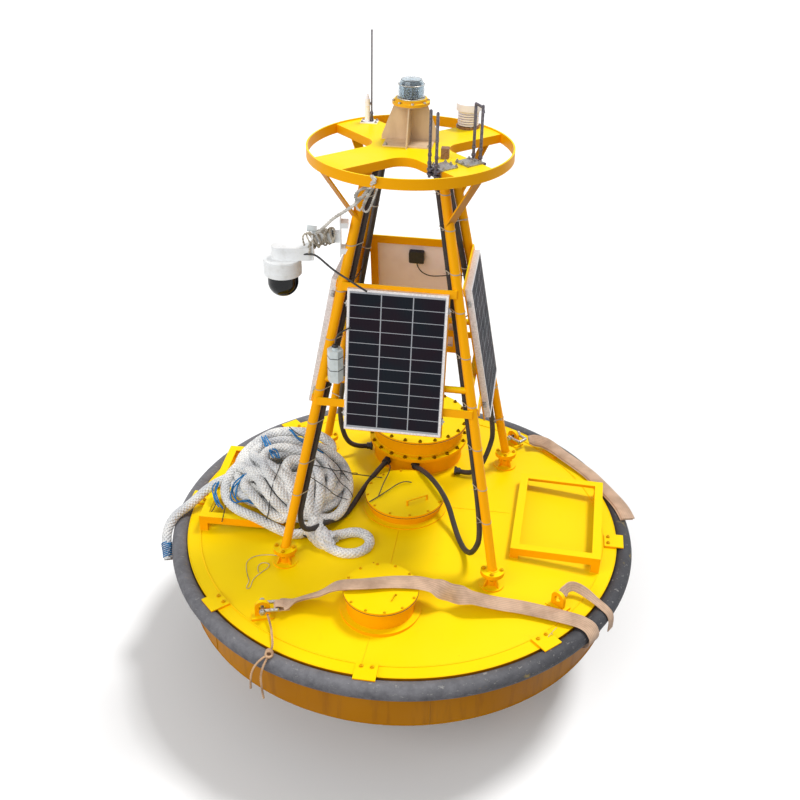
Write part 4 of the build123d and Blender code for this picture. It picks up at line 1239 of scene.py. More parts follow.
@dataclass
class HullDetails:
    """Weld beads, plate seams and the fender's fixings."""

    radius: float = 1.200
    chine: float = 0.460
    bottom: float = 0.520
    bead: float = 0.0035

    def build(self) -> None:
        """Adds the beads and the fixings."""
        self.welds()
        self.clip_bolts()
        self.tab_tie()

    def on_cone(self, angle: float, share: float) -> Vector:
        """Returns a point of the cone, from its foot to the chine."""
        return polar(self.bottom + (self.radius - self.bottom) * share, angle, self.chine * share)

    def welds(self) -> None:
        """Runs beads round the chine, the foot and the deck's rim, down the plates' joints and over the deck."""
        maker, deck = Maker(), Maker()
        for radius, height in ((1.1995, DECK - 0.001), (1.130, DECK + 0.001)):
            deck.hoop(Matrix.Translation((0, 0, height)), radius, self.bead, 160, 6)
        for radius, height in ((self.bottom + 0.002, 0.003), (self.radius, self.chine)):
            maker.hoop(Matrix.Translation((0, 0, height)), radius, self.bead, 160, 6)
        for angle in range(15, 375, 60):
            cone = [self.on_cone(angle, i / 8) for i in range(9)]
            side = [polar(self.radius, angle + 30, self.chine + (DECK - 0.09 - self.chine) * i / 3) for i in range(4)]
            maker.tube(cone, self.bead, 6)
            maker.tube(side, self.bead, 6)
        for start, end in (((-0.02, -0.97), (-0.03, -1.125)), ((0.0, -0.54), (0.0, -0.14)),
                           ((-0.28, -0.10), (-0.60, -0.10)), ((0.25, 0.10), (0.60, 0.12))):
            run = [Vector(start).lerp(Vector(end), i / 8) for i in range(9)]
            deck.tube([Vector((p.x, p.y, deck_height(p.x, p.y) + 0.0005)) for p in run], 0.0025, 6)
        maker.place("hull_beads", ENAMEL_BEADS.material(), Slot.YELLOW)
        deck.place("deck_beads", ENAMEL_DECK.material(), Slot.YELLOW)

    def clip_bolts(self) -> None:
        """Bolts each fender tab down with two bolts."""
        maker = Maker()
        for angle in range(0, 360, 45):
            for side in (-1.3, 1.3):
                maker.bolt(facing(polar(1.155, angle + side, DECK + 0.013), UP), 0.010, 0.006)
        maker.place("fender_tab_bolts", ENAMEL_BOLTS.material(), Slot.YELLOW)

    def tab_tie(self) -> None:
        """Ties a white nylon tie with a long tail through the front right tab."""
        maker = Maker()
        spot = polar(1.176, -43.2, DECK + 0.012)
        maker.hoop(facing(spot, polar(1, -45)), 0.014, 0.0016, 20, 6)
        tail = [spot + Vector(p) for p in ((0, 0, 0.014), (0.012, 0.008, 0.03), (0.028, 0.022, 0.042))]
        maker.tube(even(tail, 0.01), 0.0016, 6)
        maker.place("tab_tie", ZIP_TIE.material(), Slot.WHITE)


@dataclass
class Hatches:
    """The bolts, gaskets, beads and glands of the three deck hatches."""

    # each ring of bolts: the middle, the ring's radius, its height, the count and the bolts' size
    rings: tuple = (
        ((0.0, -0.750), 0.180, 0.9302, 12, 0.007),
        ((0.0, 0.090), 0.213, 0.9077, 12, 0.007),
        ((0.0, 0.655), 0.283, 1.072, 20, 0.010),
        ((0.0, 0.655), 0.283, 0.950, 20, 0.010),
    )

    def build(self) -> None:
        """Adds bolts to every lid and flange, gaskets between the plates and weld beads at their feet."""
        bolts = Maker()
        for middle, radius, _, count, size in self.rings:
            height = self.top(middle, radius)
            for index in range(count):
                spot = polar(radius, 360 / count * (index + 0.5)) + Vector((*middle, height))
                bolts.bolt(facing(spot, UP, polar(1, 47 * index)), size, size * 0.5)
            if radius > 0.25:
                for index in range(count):
                    spot = polar(radius, 360 / count * (index + 0.5)) + Vector((*middle, 0.950))
                    bolts.bolt(facing(spot, UP, polar(1, 31 * index)), size, size * 0.5)
        bolts.place("hatch_bolts", ENAMEL_BOLTS.material(), Slot.YELLOW)
        self.gaskets()
        self.beads()
        self.gland()
        self.rods()

    def rods(self) -> None:
        """Adds the two short bent rods, one behind the front hatch and one on its lid."""
        maker = Maker()
        maker.tube(even(spline_path(lift([(-82, -486, 84), (-84, -498, 58), (-98, -532, 47), (-118, -568, 44)]),
                                    0.006), 0.006), 0.0038, 8)
        maker.tube(even(spline_path(lift([(84, -792, 152), (80, -800, 168), (74, -822, 166), (68, -838, 153)]),
                                    0.006), 0.006), 0.0038, 8)
        maker.place("bent_rods", ENAMEL_BOLTS.material(), Slot.YELLOW)

    def top(self, middle: tuple[float, float], radius: float) -> float:
        """Returns the height of the lid at a place."""
        name = {-0.750: "front_hatch_lid", 0.090: "mid_hatch_lid"}.get(middle[1])
        if name is None:
            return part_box("main_hatch_lid")[1].z
        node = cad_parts[name]
        rim = [v.co.z for v in node.data.vertices if math.hypot(v.co.x - middle[0], v.co.y - middle[1]) > radius]
        return max(rim)

    def gaskets(self) -> None:
        """Shows the edge of the rubber gasket under each lid."""
        maker = Maker()
        for name in ("front_hatch_lid", "mid_hatch_lid", "main_hatch_lid"):
            low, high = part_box(name)
            middle = (low + high) / 2
            maker.hoop(Matrix.Translation((middle.x, middle.y, low.z)), (high.x - low.x) / 2 - 0.0008, 0.0022, 72, 6)
        maker.place("hatch_gaskets", BLACK_PLASTIC.material(), Slot.BLACK)

    def beads(self) -> None:
        """Runs weld beads round the coamings' feet and the main drum's seams."""
        maker = Maker()
        for (x, y), radius in (((0.0, -0.750), 0.172), ((0.0, 0.090), 0.205), ((0.0, 0.655), 0.268)):
            around = [Vector((x, y, 0)) + polar(radius + 0.002, 360 * i / 60) for i in range(61)]
            foot = 0.005 if radius < 0.25 else 0.0
            maker.tube([Vector((p.x, p.y, deck_height(p.x, p.y) + foot)) for p in around], 0.0035, 6)
        for height in (0.930, 0.962):
            maker.hoop(Matrix.Translation((0, 0.655, height)), 0.270, 0.003, 72, 6)
        maker.place("coaming_beads", ENAMEL_DECK.material(), Slot.YELLOW)

    def gland(self) -> None:
        """Fits the glands where the conduits enter the main hatch."""
        maker = Maker()
        for x, y, z, toward in ((0.272, 0.440, 0.846, (-0.15, 0.45)), (0.020, 0.372, 0.900, (0, 0.6)),
                                (-0.160, 0.384, 0.900, (-0.05, 0.6)), (-0.300, 0.600, 0.856, (-0.1, 0.62))):
            run = Vector((toward[0] - x, toward[1] - y, 0)).normalized()
            place = facing((x, y, z), run, UP)
            maker.drum(place @ Matrix.Translation((0, 0, -0.012)), 0.021, 0.034, sides=24, bevel=0.002)
            maker.drum(place @ Matrix.Translation((0, 0, 0.010)), 0.027, 0.014, sides=6, bevel=0.002)
        maker.place("conduit_glands", BLACK_PLASTIC.material(), Slot.BLACK)


@dataclass
class DeckFittings:
    """The fixings of the tower's feet, padeyes, shackles and side frames."""

    foot: float = 0.777
    flange_z: float = 0.894

    def build(self) -> None:
        """Adds the feet's bolts and beads, the shackles' nuts and the frames' beads."""
        self.feet()
        self.shackle_nuts()
        self.frame_beads()
        self.webbing_loop()

    def feet(self) -> None:
        """Bolts each leg's two flanges together and beads the joints."""
        bolts, beads = Maker(), Maker()
        for leg in (45, 135, 225, 315):
            middle = polar(self.foot, leg) + TOWER
            for turn in (45, 135, 225, 315):
                spot = middle + polar(0.047, leg + turn, self.flange_z + 0.012)
                bolts.bolt(facing(spot, UP, polar(1, turn)), 0.011, 0.006)
                under = middle + polar(0.047, leg + turn, self.flange_z - 0.012)
                bolts.bolt(facing(under, -UP, polar(1, turn)), 0.013, 0.004)
            beads.hoop(Matrix.Translation(middle + Vector((0, 0, self.flange_z + 0.013))), 0.0265, 0.004, 32, 6)
            beads.hoop(Matrix.Translation(middle + Vector((0, 0, DECK + 0.0345))), 0.0315, 0.0035, 32, 6)
            beads.hoop(Matrix.Translation(middle + Vector((0, 0, self.flange_z - 0.0125))), 0.0315, 0.003, 32, 6)
        bolts.place("foot_bolts", ENAMEL_BOLTS.material(), Slot.YELLOW)
        beads.place("foot_beads", ENAMEL_DECK.material(), Slot.YELLOW)

    def shackle_nuts(self) -> None:
        """Adds the heads, nuts and split pins to the two shackles' pins."""
        maker = Maker()
        for angle, turn in ((57, -38), (237, 16)):
            hole = polar(1.060, angle, DECK + 0.062)
            pin = polar(1, turn - 90)
            for side in (-1, 1):
                place = facing(hole + pin * (0.036 * side), pin * side, UP)
                maker.drum(place, 0.017, 0.004, sides=20)
                maker.drum(place @ Matrix.Translation((0, 0, 0.004)), 0.0155, 0.011, sides=6, bevel=0.0012)
            ring = facing(hole + pin * 0.047, polar(1, turn), UP)
            maker.hoop(ring, 0.008, 0.0014, 16, 6)
        maker.place("shackle_nuts", STAINLESS.material(), Slot.ZINC)

    def frame_beads(self) -> None:
        """Beads the side frames' posts to the deck."""
        maker = Maker()
        for side in (-1, 1):
            turn = Matrix.Rotation(math.radians(-side * 2), 3, "Z")
            for x in (-0.2165, 0.2165):
                for y in (-0.330, 0.330):
                    corners = [turn @ Vector((x + dx, y + dy, 0)) + Vector((side * 0.873, 0.078, 0)) for dx, dy in
                               ((-0.023, -0.023), (0.023, -0.023), (0.023, 0.023), (-0.023, 0.023), (-0.023, -0.023))]
                    line = even([Vector((c.x, c.y, deck_height(c.x, c.y))) for c in corners], 0.0115)
                    maker.tube(line, 0.003, 6)
        maker.place("frame_beads", ENAMEL_DECK.material(), Slot.YELLOW)

    def webbing_loop(self) -> None:
        """Wraps a worn turn of webbing over the front left shackle's bow."""
        maker = Maker()
        hole = polar(1.060, 237, DECK + 0.062)
        away = polar(1, 16)
        bow = hole + away * 0.075
        line = [bow + away * x + UP * z for x, z in ((0.06, -0.008), (0.02, 0.012), (-0.004, 0.017), (-0.018, 0.0),
                                                    (-0.004, -0.017), (0.02, -0.014), (0.06, -0.014))]
        outline = [(-0.024, -0.002), (0.024, -0.002), (0.024, 0.002), (-0.024, 0.002)]
        maker.profile(even(line, 0.008), outline, side=polar(1, 16 - 90))
        maker.place("shackle_webbing", WovenWebbing("loop_webbing").material(), Slot.WEB, smooth=50)


# ---------------------------------------------------------------- the tower


def leg_spot(angle: float, height: float) -> Vector:
    """Returns the point of a leg's axis at a height in metres."""
    out = 0.777 + (0.2383 - 0.777) * (height - 0.894) / 1.996
    return polar(out, angle, height) + TOWER


@dataclass
class TowerFace:
    """A plane parallel to one side of the tower."""

    angle: float
    lean: float = math.atan(0.19084)

    def place(self, height: float, off: float) -> Matrix:
        """Returns a placement on the face: X to the right, Y up the face, Z outwards.

        Args:
            height: the height of the origin before it is moved outwards.
            off: the distance outwards.

        Returns:
            The matrix.
        """
        half = 0.777 / math.sqrt(2) - math.tan(self.lean) * (height - 0.894)
        out, across = polar(1, self.angle), polar(1, self.angle + 90)
        normal = out * math.cos(self.lean) + UP * math.sin(self.lean)
        return facing(out * half + UP * height + normal * off + TOWER, normal, across)


@dataclass
class SolarPanels:
    """Four panels: cells in three columns of eleven, with their back sheets, leads and clamps."""

    width: float = 0.481
    length: float = 0.714
    height: float = 1.974
    back: float = 0.032
    thick: float = 0.030
    columns: int = 3
    rows: int = 11
    gap: tuple[float, float] = (0.0055, 0.0035)
    margin: tuple[float, float] = (0.014, 0.021)

    def build(self) -> None:
        """Dresses each panel."""
        for name, angle in (("front", 270), ("right", 0), ("back", 90), ("left", 180)):
            face = TowerFace(angle).place(self.height, self.back)
            self.cells(name, face)
            self.sheet(name, face)
            self.clamps(name, face)
            self.lead(name, face)

    def cells(self, name: str, face: Matrix) -> None:
        """Lays the cells and the pale sheet that shows between them."""
        sheet = Maker()
        glass = face @ Matrix.Translation((0, 0, self.thick - 0.002))
        sheet.block(glass, (self.width - 0.022, self.length - 0.022, 0.0004))
        sheet.place(f"cell_sheet_{name}", GRID_LINES.material(), Slot.SOLAR, smooth=None)
        maker = Maker()
        wide = (self.width - 2 * self.margin[0] - (self.columns - 1) * self.gap[0]) / self.columns
        tall = (self.length - 2 * self.margin[1] - (self.rows - 1) * self.gap[1]) / self.rows
        for column in range(self.columns):
            for row in range(self.rows):
                x = (column - (self.columns - 1) / 2) * (wide + self.gap[0])
                y = (row - (self.rows - 1) / 2) * (tall + self.gap[1])
                maker.block(glass @ Matrix.Translation((x, y, 0.0003)), (wide, tall, 0.0004))
        layer = maker.bm.loops.layers.uv.new("UVMap")
        inverse = face.inverted()
        for face_ in maker.bm.faces:
            for loop in face_.loops:
                spot = inverse @ loop.vert.co
                loop[layer].uv = (spot.x, spot.y)
        maker.place(f"cells_{name}", CELLS.material(), Slot.SOLAR, smooth=None)

    def sheet(self, name: str, face: Matrix) -> None:
        """Lines the panel's back with its white sheet."""
        maker = Maker()
        maker.block(face @ Matrix.Translation((0, 0, 0.0212)), (self.width - 0.045, self.length - 0.045, 0.0008))
        maker.place(f"backsheet_{name}", BACKSHEET.material(), Slot.WHITE, smooth=None)

    def clamps(self, name: str, face: Matrix) -> None:
        """Holds the panel on its frame with four clips and bolts."""
        maker = Maker()
        for x in (-1, 1):
            for y in (-0.28, 0.28):
                edge = face @ Matrix.Translation((x * (self.width / 2 + 0.0045), y, 0.0))
                maker.block(edge, (0.007, 0.030, self.thick * 0.6), 0.001)
                maker.bolt(edge @ Matrix.Translation((x * 0.0035, 0, 0.010)) @ Matrix.Rotation(x * math.pi / 2, 4, "Y"),
                           0.006, 0.003)
        maker.place(f"panel_clips_{name}", ZINC.material(), Slot.ZINC)

    def lead(self, name: str, face: Matrix) -> None:
        """Hangs the panel's two leads from its junction box, as one cable back to the leg."""
        run = [face @ Vector(p) for p in ((0.0, 0.2125, 0.012), (-0.003, 0.196, 0.002), (-0.030, 0.166, -0.012),
                                          (-0.078, 0.152, -0.020), (-0.140, 0.168, -0.032), (-0.200, 0.190, -0.046),
                                          (-0.262, 0.200, -0.057))]
        points = spline_path(run, 0.008)
        piece = mesh_object(f"panel_lead_{name}", bevelled_curves([points], 0.003, 2), BLACK_CABLE.material(),
                            smooth=80)


@dataclass
class ConduitTies:
    """Nylon ties that hold the conduits to the legs."""

    leg_radius: float = 0.02415
    conduit_radius: float = 0.015
    spacing: float = 0.0495
    # each leg's angle and the ties' heights
    legs: tuple = ((315, (1.17, 1.35, 1.56, 1.78, 2.02, 2.24, 2.42, 2.62, 2.78)),
                   (225, (1.22, 1.40, 1.62, 1.80, 2.06, 2.30, 2.52, 2.74)),
                   (45, (1.18, 1.42, 1.68, 1.95, 2.22, 2.50, 2.76)),
                   (135, (1.26, 1.50, 1.75, 2.02, 2.30, 2.55, 2.78)))

    def build(self) -> None:
        """Puts a tie at each height."""
        maker = Maker()
        for angle, heights in self.legs:
            for height in heights:
                self.tie(maker, angle, height)
        maker.place("conduit_ties", ZIP_TIE.material(), Slot.WHITE)

    def tie(self, maker: Maker, angle: float, height: float) -> None:
        """Loops one tie round the leg and the conduit, with its head and cut tail."""
        leg = leg_spot(angle, height)
        inward = -polar(1, angle)
        side = UP.cross(inward)
        thick = 0.0018
        loop = []
        for share in range(25):
            turn = math.tau * share / 24
            out = math.cos(turn)
            radius = (self.leg_radius if out < 0 else self.conduit_radius) + thick
            middle = leg if out < 0 else leg + inward * self.spacing
            loop.append(middle + inward * (radius * out) + side * (radius * math.sin(turn)))
        outline = [(-0.0025, -0.0008), (0.0025, -0.0008), (0.0025, 0.0008), (-0.0025, 0.0008)]
        maker.profile(loop, outline, side=UP)
        head = facing(leg + side * (self.leg_radius + 0.003) + inward * 0.012, side, UP)
        maker.block(head, (0.007, 0.006, 0.005), 0.0006)
        maker.tube([head @ Vector(p) for p in ((0, 0, 0.004), (0.002, 0.002, 0.018), (0.008, 0.004, 0.030))], 0.001, 5)


# ---------------------------------------------------------------- the platform


@dataclass
class PlatformFittings:
    """What stands on the platform: U-bolts, the lantern's rings and the aerials' clamps."""

    table: float = 2.933
    lantern: tuple[float, float] = (-0.020, 0.136)
    # the two pairs of rods: the arm's edge that each stands at, and how far out along the arm
    rods: tuple = ((-1, 0.317), (1, 0.338))

    def build(self) -> None:
        """Adds the small parts of the lantern, the aerials, the screen and the whip."""
        self.lantern_parts()
        self.aerial_clamps()
        self.small_bolts()
        self.whip()

    def lantern_parts(self) -> None:
        """Adds the lens's inner prisms, its cap, the lamps inside and the base's bolts."""
        x, y = self.lantern
        foot = self.table + 0.202
        prisms = Maker()
        for index in range(7):
            prisms.hoop(Matrix.Translation((x, y, foot + 0.012 + index * 0.0075)), 0.0545, 0.0026, 48, 6, 1.3)
        prisms.place("lens_prisms", LENS.material(), Slot.LENS)
        lamp = Maker()
        for index in range(4):
            lamp.drum(Matrix.Translation((x, y, foot + 0.012 + index * 0.013)), 0.033, 0.0022, sides=32)
        for index in range(12):
            for level in range(3):
                spot = Vector((x, y, foot + 0.020 + level * 0.013)) + polar(0.0305, index * 30)
                lamp.drum(facing(spot, polar(1, index * 30)), 0.0032, 0.003, top=0.0018, sides=10)
        lamp.drum(Matrix.Translation((x, y, foot + 0.0575)), 0.046, 0.006, sides=40, bevel=0.001)
        lamp.place("lamp_rings", LAMP.material(), Slot.BLACK)
        collar = Maker()
        collar.hoop(Matrix.Translation((x, y, foot + 0.002)), 0.0635, 0.0032, 56, 8)
        collar.hoop(Matrix.Translation((x, y, foot + 0.063)), 0.0612, 0.0016, 56, 6)
        for index in range(8):
            collar.bolt(facing(Vector((x, y, self.table + 0.189)) + polar(0.081, 45 * index + 12), UP), 0.007)
        collar.place("lantern_collar", STAINLESS.material(), Slot.ZINC)

    def pairs(self) -> list[tuple[Vector, Vector]]:
        """Returns each pair of rods' middle on the platform and the direction away from the arm."""
        along, across = polar(1, -45), polar(1, 45)
        return [(TOWER + along * out + across * (side * 0.117), across * side) for side, out in self.rods]

    def aerial_clamps(self) -> None:
        """Clamps each rod with U-bolts and dark saddles, and adds the rods' collars and caps."""
        bolts, rods = Maker(), Maker()
        along = polar(1, -45)
        for middle, away in self.pairs():
            for gap in (-0.024, 0.024):
                spot = middle + along * gap
                for height in (self.table - 0.026, self.table - 0.006):
                    bend = [spot + away * (0.0098 * math.sin(math.pi * i / 8))
                            + along * (0.0098 * math.cos(math.pi * i / 8)) + UP * height for i in range(9)]
                    bolts.tube([bend[0] - away * 0.018, *bend, bend[-1] - away * 0.018], 0.0024, 6)
                    saddle = facing(spot + away * 0.006 + UP * height, along, UP)
                    rods.block(saddle, (0.012, 0.018, 0.026), 0.002)
                for height, size in ((0.014, 0.0100), (0.050, 0.0090)):
                    rods.drum(Matrix.Translation(spot + UP * (self.table + height)), size, 0.012, sides=20, bevel=0.001)
                rods.drum(Matrix.Translation(spot + UP * (self.table + 0.250)), 0.007, 0.005, 0.004, sides=16)
        middle, _ = self.pairs()[1]
        top = [middle - along * 0.024, middle - along * 0.012 + UP * 0.003, middle + along * 0.024 - UP * 0.004,
               middle + along * 0.031 - UP * 0.026]
        rods.tube([p + UP * (self.table + 0.246) for p in top], 0.0062, 8)
        bolts.place("aerial_u_bolts", ZINC.material(), Slot.ZINC)
        rods.place("aerial_collars", DARK_ROD.material(), Slot.DARK)

    def small_bolts(self) -> None:
        """Bolts down the aerials' plates, the screen's foot, the pedestal and the whip."""
        maker = Maker()
        along = polar(1, -45)
        for middle, away in self.pairs():
            foot = middle - away * 0.052 + along * 0.012
            for dx in (-0.038, 0.0, 0.038):
                for dy in (-0.034, 0.034):
                    spot = foot + along * dx + away * (dy - 0.006) + UP * (self.table + 0.006)
                    maker.bolt(facing(spot, UP), 0.007, 0.006)
        screen = Vector((0.228, 0.405, self.table + 0.012))
        whip = Vector((-0.260, 0.388, self.table + 0.005))
        for index in range(4):
            maker.bolt(facing(screen + polar(0.055, 90 * index + 20), UP), 0.005)
            corner = Vector((*self.lantern, self.table + 0.006)) + polar(0.143, 90 * index + 45)
            maker.bolt(facing(corner, UP), 0.008, 0.004)
            spot = whip + Vector((0.034 * (1 if index % 2 else -1), 0.020 * (1 if index > 1 else -1), 0))
            maker.bolt(facing(spot, UP), 0.006, 0.003)
        maker.place("platform_bolts", ZINC.material(), Slot.ZINC)

    def whip(self) -> None:
        """Adds the whip's bracket, its ferrule and the base's bands."""
        x, y = -0.270, 0.388
        holder, bands = Maker(), Maker()
        rod = Vector((x + 0.021, y, 0))
        holder.drum(Matrix.Translation(rod + UP * (self.table + 0.044)), 0.0095, 0.012, 0.005, sides=20)
        holder.drum(Matrix.Translation(rod + UP * (self.table + 0.006)), 0.0105, 0.014, sides=6, bevel=0.001)
        holder.drum(Matrix.Translation(rod + UP * (self.table + 0.434)), 0.0052, 0.008, 0.003, sides=12)
        holder.block(facing((x + 0.012, y, self.table + 0.088), UP), (0.022, 0.012, 0.010), 0.001)
        holder.place("whip_fittings", DARK_ROD.material(), Slot.DARK)
        for height in (0.030, 0.084):
            bands.hoop(Matrix.Translation((x, y, self.table + height)), 0.0132, 0.0016, 32, 6, 2.0)
        bands.drum(Matrix.Translation((x, y, self.table + 0.1295)), 0.0072, 0.010, 0.0045, sides=20)
        bands.place("whip_bands", SCREEN_WHITE.material(), Slot.WHITE)


# ---------------------------------------------------------------- the camera


@dataclass
class CameraDetails:
    """The camera's screws, seams, cable and lashings, and the case below it."""

    spot: tuple[float, float] = (-0.571, -0.226)
    top: float = 2.447
    radius: float = 0.091

    def build(self) -> None:
        """Adds each small part."""
        self.screws()
        self.lashings()
        self.cables()
        self.case_parts()

    def screws(self) -> None:
        """Adds the drum's screws and seams and the dome's rim."""
        maker = Maker()
        x, y = self.spot
        for index in range(4):
            maker.drum(Matrix.Translation(Vector((x, y, self.top - 0.0006)) + polar(0.076, 90 * index + 30)), 0.0045,
                       0.0022, sides=14)
        for drop in (0.006, 0.055):
            maker.hoop(Matrix.Translation((x, y, self.top - drop)), self.radius + 0.0002, 0.0013, 72, 6)
        maker.hoop(Matrix.Translation((x, y, self.top - 0.079)), 0.0765, 0.0028, 64, 8)
        maker.place("camera_seams", WHITE_CASE.material(), Slot.WHITE)

    def lashings(self) -> None:
        """Winds old line round the hood's neck and the arm in crossing turns."""
        lines = []
        along = polar(1, 9)
        start = Vector((-0.434, -0.204, self.top + 0.086))
        for index in range(15):
            middle = start + along * (0.0075 * index) + UP * (0.0022 * index)
            wide = 0.035 + 0.007 * noise.noise(Vector((index * 1.7, 0, 0)))
            tall = 0.034 + 0.008 * noise.noise(Vector((0, index * 1.3, 0)))
            lean = (0.020 if index % 2 else -0.020) + 0.018 * noise.noise(Vector((index * 0.9, 3, 0)))
            loop = []
            for step in range(25):
                turn = math.tau * step / 24
                spot = middle + UP.cross(along) * (wide * math.cos(turn)) + UP * (tall * math.sin(turn))
                loop.append(spot + along * (lean * math.sin(turn + 0.4 * index)))
            lines += strand_lines(loop, 2, 0.0026, 0.03)
        ends = (((-458, -236, 1740), (-470, -236, 1776), (-456, -232, 1800), (-430, -236, 1806), (-412, -228, 1790)),
                ((-402, -232, 1802), (-388, -236, 1820), (-368, -238, 1812), (-352, -240, 1792)),
                ((-430, -244, 1750), (-428, -250, 1722), (-438, -246, 1706)))
        for end in ends:
            lines += strand_lines(spline_path(lift(end), 0.006), 2, 0.0026, 0.03)
        mesh_object("camera_lashings", bevelled_curves(lines, 0.0027, 1), OLD_LINE.material(), smooth=80)
        cap = Maker()
        cap.block(facing((-0.428, -0.208, DECK + 1.812), (0.2, -0.3, 1), along), (0.046, 0.034, 0.010), 0.002)
        cap.place("hood_latch", GREY_CASE.material(), Slot.WHITE)

    def cables(self) -> None:
        """Runs the camera's cable under the arm to the panel's corner, and a stay up to the ring."""
        lead = ((-498, -236, 1690), (-470, -243, 1697), (-440, -248, 1704), (-407, -254, 1706), (-380, -260, 1692),
                (-341, -272, 1665), (-297, -284, 1638), (-254, -296, 1620), (-214, -304, 1600), (-180, -304, 1578),
                (-150, -300, 1560))
        points = spline_path(lift(lead), 0.01)
        cable = mesh_object("camera_cable", bevelled_curves([points], 0.005, 2), BLACK_CABLE.material(),
                            smooth=80)
        stay = ((-392, -254, 1816), (-377, -261, 1830), (-350, -266, 1858), (-323, -270, 1888), (-293, -276, 1914),
                (-258, -283, 1940), (-222, -292, 1968), (-190, -306, 2000), (-160, -330, 2040), (-130, -370, 2090),
                (-108, -412, 2120), (-101, -424, 2140))
        points = spline_path(lift(stay), 0.008)
        lines = strand_lines(points, 3, 0.0044, 0.05)
        hank = []
        # the loose loops of the stay's end below the ring, in millimetres
        for loop in (((-104, -420, 2128), (-150, -380, 2100), (-190, -330, 2050), (-205, -300, 1985),
                      (-186, -302, 1950), (-160, -320, 1990), (-130, -360, 2060), (-100, -405, 2110)),
                     ((-96, -416, 2118), (-124, -372, 2076), (-160, -330, 2010), (-168, -312, 1960),
                      (-142, -322, 1958), (-112, -360, 2030), (-88, -400, 2100)),
                     ((-110, -418, 2110), (-170, -352, 2080), (-206, -320, 2034), (-196, -310, 2008),
                      (-140, -350, 2056))):
            hank += strand_lines(spline_path(lift(loop), 0.008), 2, 0.003, 0.035)
        knot = [Vector(lift([(-101, -426, 2148)])[0]) + Vector((0.012 * math.cos(i * 1.3), 0.010 * math.sin(i * 1.1),
                                                               0.018 * math.sin(i * 0.7))) for i in range(12)]
        hank += strand_lines(spline_path(knot, 0.006), 2, 0.003, 0.035)
        loops = mesh_object("stay_hank", bevelled_curves(hank, 0.0031, 1), GREY_LINE.material(), smooth=80)
        stay_piece = mesh_object("camera_stay", bevelled_curves(lines, 0.0040, 1), GREY_LINE.material(),
                                 smooth=80)
        band = Maker()
        along = polar(1, 9)
        band.block(facing((-0.336, -0.187, DECK + 1.775), along, UP), (0.049, 0.049, 0.012), 0.002)
        band.place("arm_band", BLACK_PLASTIC.material(), Slot.BLACK)

    def case_parts(self) -> None:
        """Adds the junction case's gland, its strap and its cable."""
        maker = Maker()
        x, y = -0.298, -0.345
        maker.drum(Matrix.Translation((x, y, 2.057)), 0.015, 0.012, 0.010, sides=20)
        maker.drum(Matrix.Translation((x, y, 2.056)), 0.018, 0.006, sides=6, bevel=0.001)
        for height in (1.938, 2.004):
            maker.hoop(Matrix.Translation((x, y, height)), 0.0385, 0.0022, 6, 6)
        maker.place("case_strap", BLACK_PLASTIC.material(), Slot.BLACK)
        run = ((-298, -345, 1282), (-296, -345, 1317), (-282, -341, 1345), (-252, -328, 1362), (-226, -312, 1370))
        points = spline_path(lift(run), 0.006)
        cable = mesh_object("case_cable", bevelled_curves([points], 0.0035, 2), BLACK_CABLE.material(),
                            smooth=80)


# ---------------------------------------------------------------- loose lines


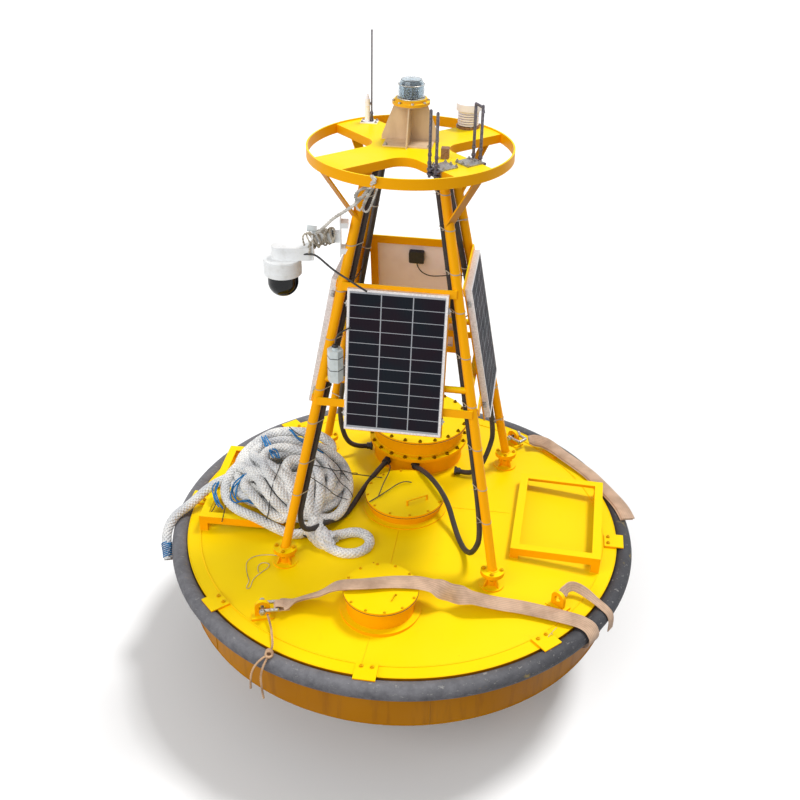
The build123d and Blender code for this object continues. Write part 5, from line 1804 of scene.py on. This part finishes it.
def loose_lines() -> None:
    """Adds the tag line's knot and second tail, the twine by the foot and the wires on the middle hatch."""
    knot = Maker()
    middle = Vector(lift([(-473, -1162, 20)])[0])
    for index, (turn, size) in enumerate(((0.0, 0.016), (0.9, 0.018), (1.9, 0.015), (2.6, 0.017))):
        tilt = Matrix.Rotation(turn, 4, "Y") @ Matrix.Rotation(0.7 * index, 4, "X")
        knot.hoop(Matrix.Translation(middle + Vector((0, 0.002 * index, 0.002 * index))) @ tilt, size, 0.0058, 20, 8)
    tied = knot.place("tag_knot", TAN_LINE.material(), Slot.LINE, smooth=80)
    TAG_LINE.build([tied])
    Line("tag_line_short", ((-480, -1165, 20), (-505, -1190, 14), (-530, -1216, -6), (-548, -1226, -50),
                            (-556, -1222, -110), (-560, -1216, -165)), 0.006, TAN_LINE).build()
    Line("foot_twine", ((-600, -470, 40), (-636, -458, 32), (-676, -461, 29), (-716, -469, 26), (-747, -488, 24),
                        (-762, -523, 22), (-757, -560, 20), (-731, -626, 18), (-708, -664, 17), (-714, -708, 15),
                        (-704, -727, 15), (-690, -712, 16), (-694, -672, 18), (-688, -636, 20), (-663, -596, 23),
                        (-630, -548, 27), (-642, -523, 28), (-682, -521, 26), (-698, -562, 23),
                        (-678, -596, 22)), 0.0022, OLD_LINE, strands=2).build()
    # the stray wires round the middle hatch, in millimetres
    for name, route in (
            ("hatch_wire", ((-183, -42, 137), (-144, 8, 138), (-99, 70, 142), (-45, 147, 148), (-5, 181, 142),
                            (25, 179, 138))),
            ("gland_wire", ((-148, 366, 118), (-122, 325, 146), (-111, 236, 162), (-134, 120, 148), (-141, 14, 138))),
            ("heap_stray", ((-150, 196, 138), (-220, 183, 150), (-307, 119, 200), (-366, 38, 250)))):
        Line(name, route, 0.003, BLACK_CABLE, strands=1, stiffness="medium", slot_name=Slot.BLACK).build()


# ---------------------------------------------------------------- the whole


NODE_FINISHES: dict[str, Finish] = {
    "hull": ENAMEL_HULL,
    "fender": RUBBER,
    "lantern_pedestal": PRIMER,
    "lantern_base": ENAMEL_LANTERN,
    "lantern_lens": LENS,
    "lantern_source": LAMP,
    "camera_dome": SMOKE,
    "camera_drum": WHITE_CASE,
    "camera_hood": WHITE_CASE,
    "camera_arm": WHITE_CASE,
    "camera_yoke": BLACK_PLASTIC,
    "camera_eye": BLACK_PLASTIC,
    "junction_case": GREY_CASE,
    "weather_screen": SCREEN_WHITE,
    "screen_foot": BROWN_PLATE,
    "whip_base": SCREEN_WHITE,
    "whip_rod": DARK_ROD,
    "aerial_rods": DARK_ROD,
    "aerial_clamps": ZINC,
    "sensor_block": BROWN_PLATE,
    "shackles": STAINLESS,
    "junction_boxes": BLACK_PLASTIC,
}


def dress_nodes() -> None:
    """Gives each CAD node that stays its finish."""
    for name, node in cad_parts.items():
        tower = name.startswith(("leg_f", "leg_b", "cross", "panel", "top_ring", "platform", "ring"))
        finish = NODE_FINISHES.get(name, ENAMEL_TOWER if tower else ENAMEL_DECK)
        if name.startswith("solar_panel"):
            finish = ALLOY
        node.data.materials.clear()
        node.data.materials.append(finish.material())


def main() -> None:
    """Builds the studio, the cords and every dressed sub-assembly in order."""
    logging.basicConfig(level=logging.INFO, format="%(name)s: %(message)s")
    Studio().build()
    MooringRope().build()
    for strap in (SLING_FRONT, SLING_REAR, SLING_SIDE):
        strap.build()
    loose_lines()
    for conduit in CONDUITS:
        conduit.build()
    dress_nodes()
    for assembly in (HullDetails(), Hatches(), DeckFittings(), SolarPanels(), ConduitTies(), PlatformFittings(),
                     CameraDetails()):
        assembly.build()


if __name__ == "__main__":
    main()
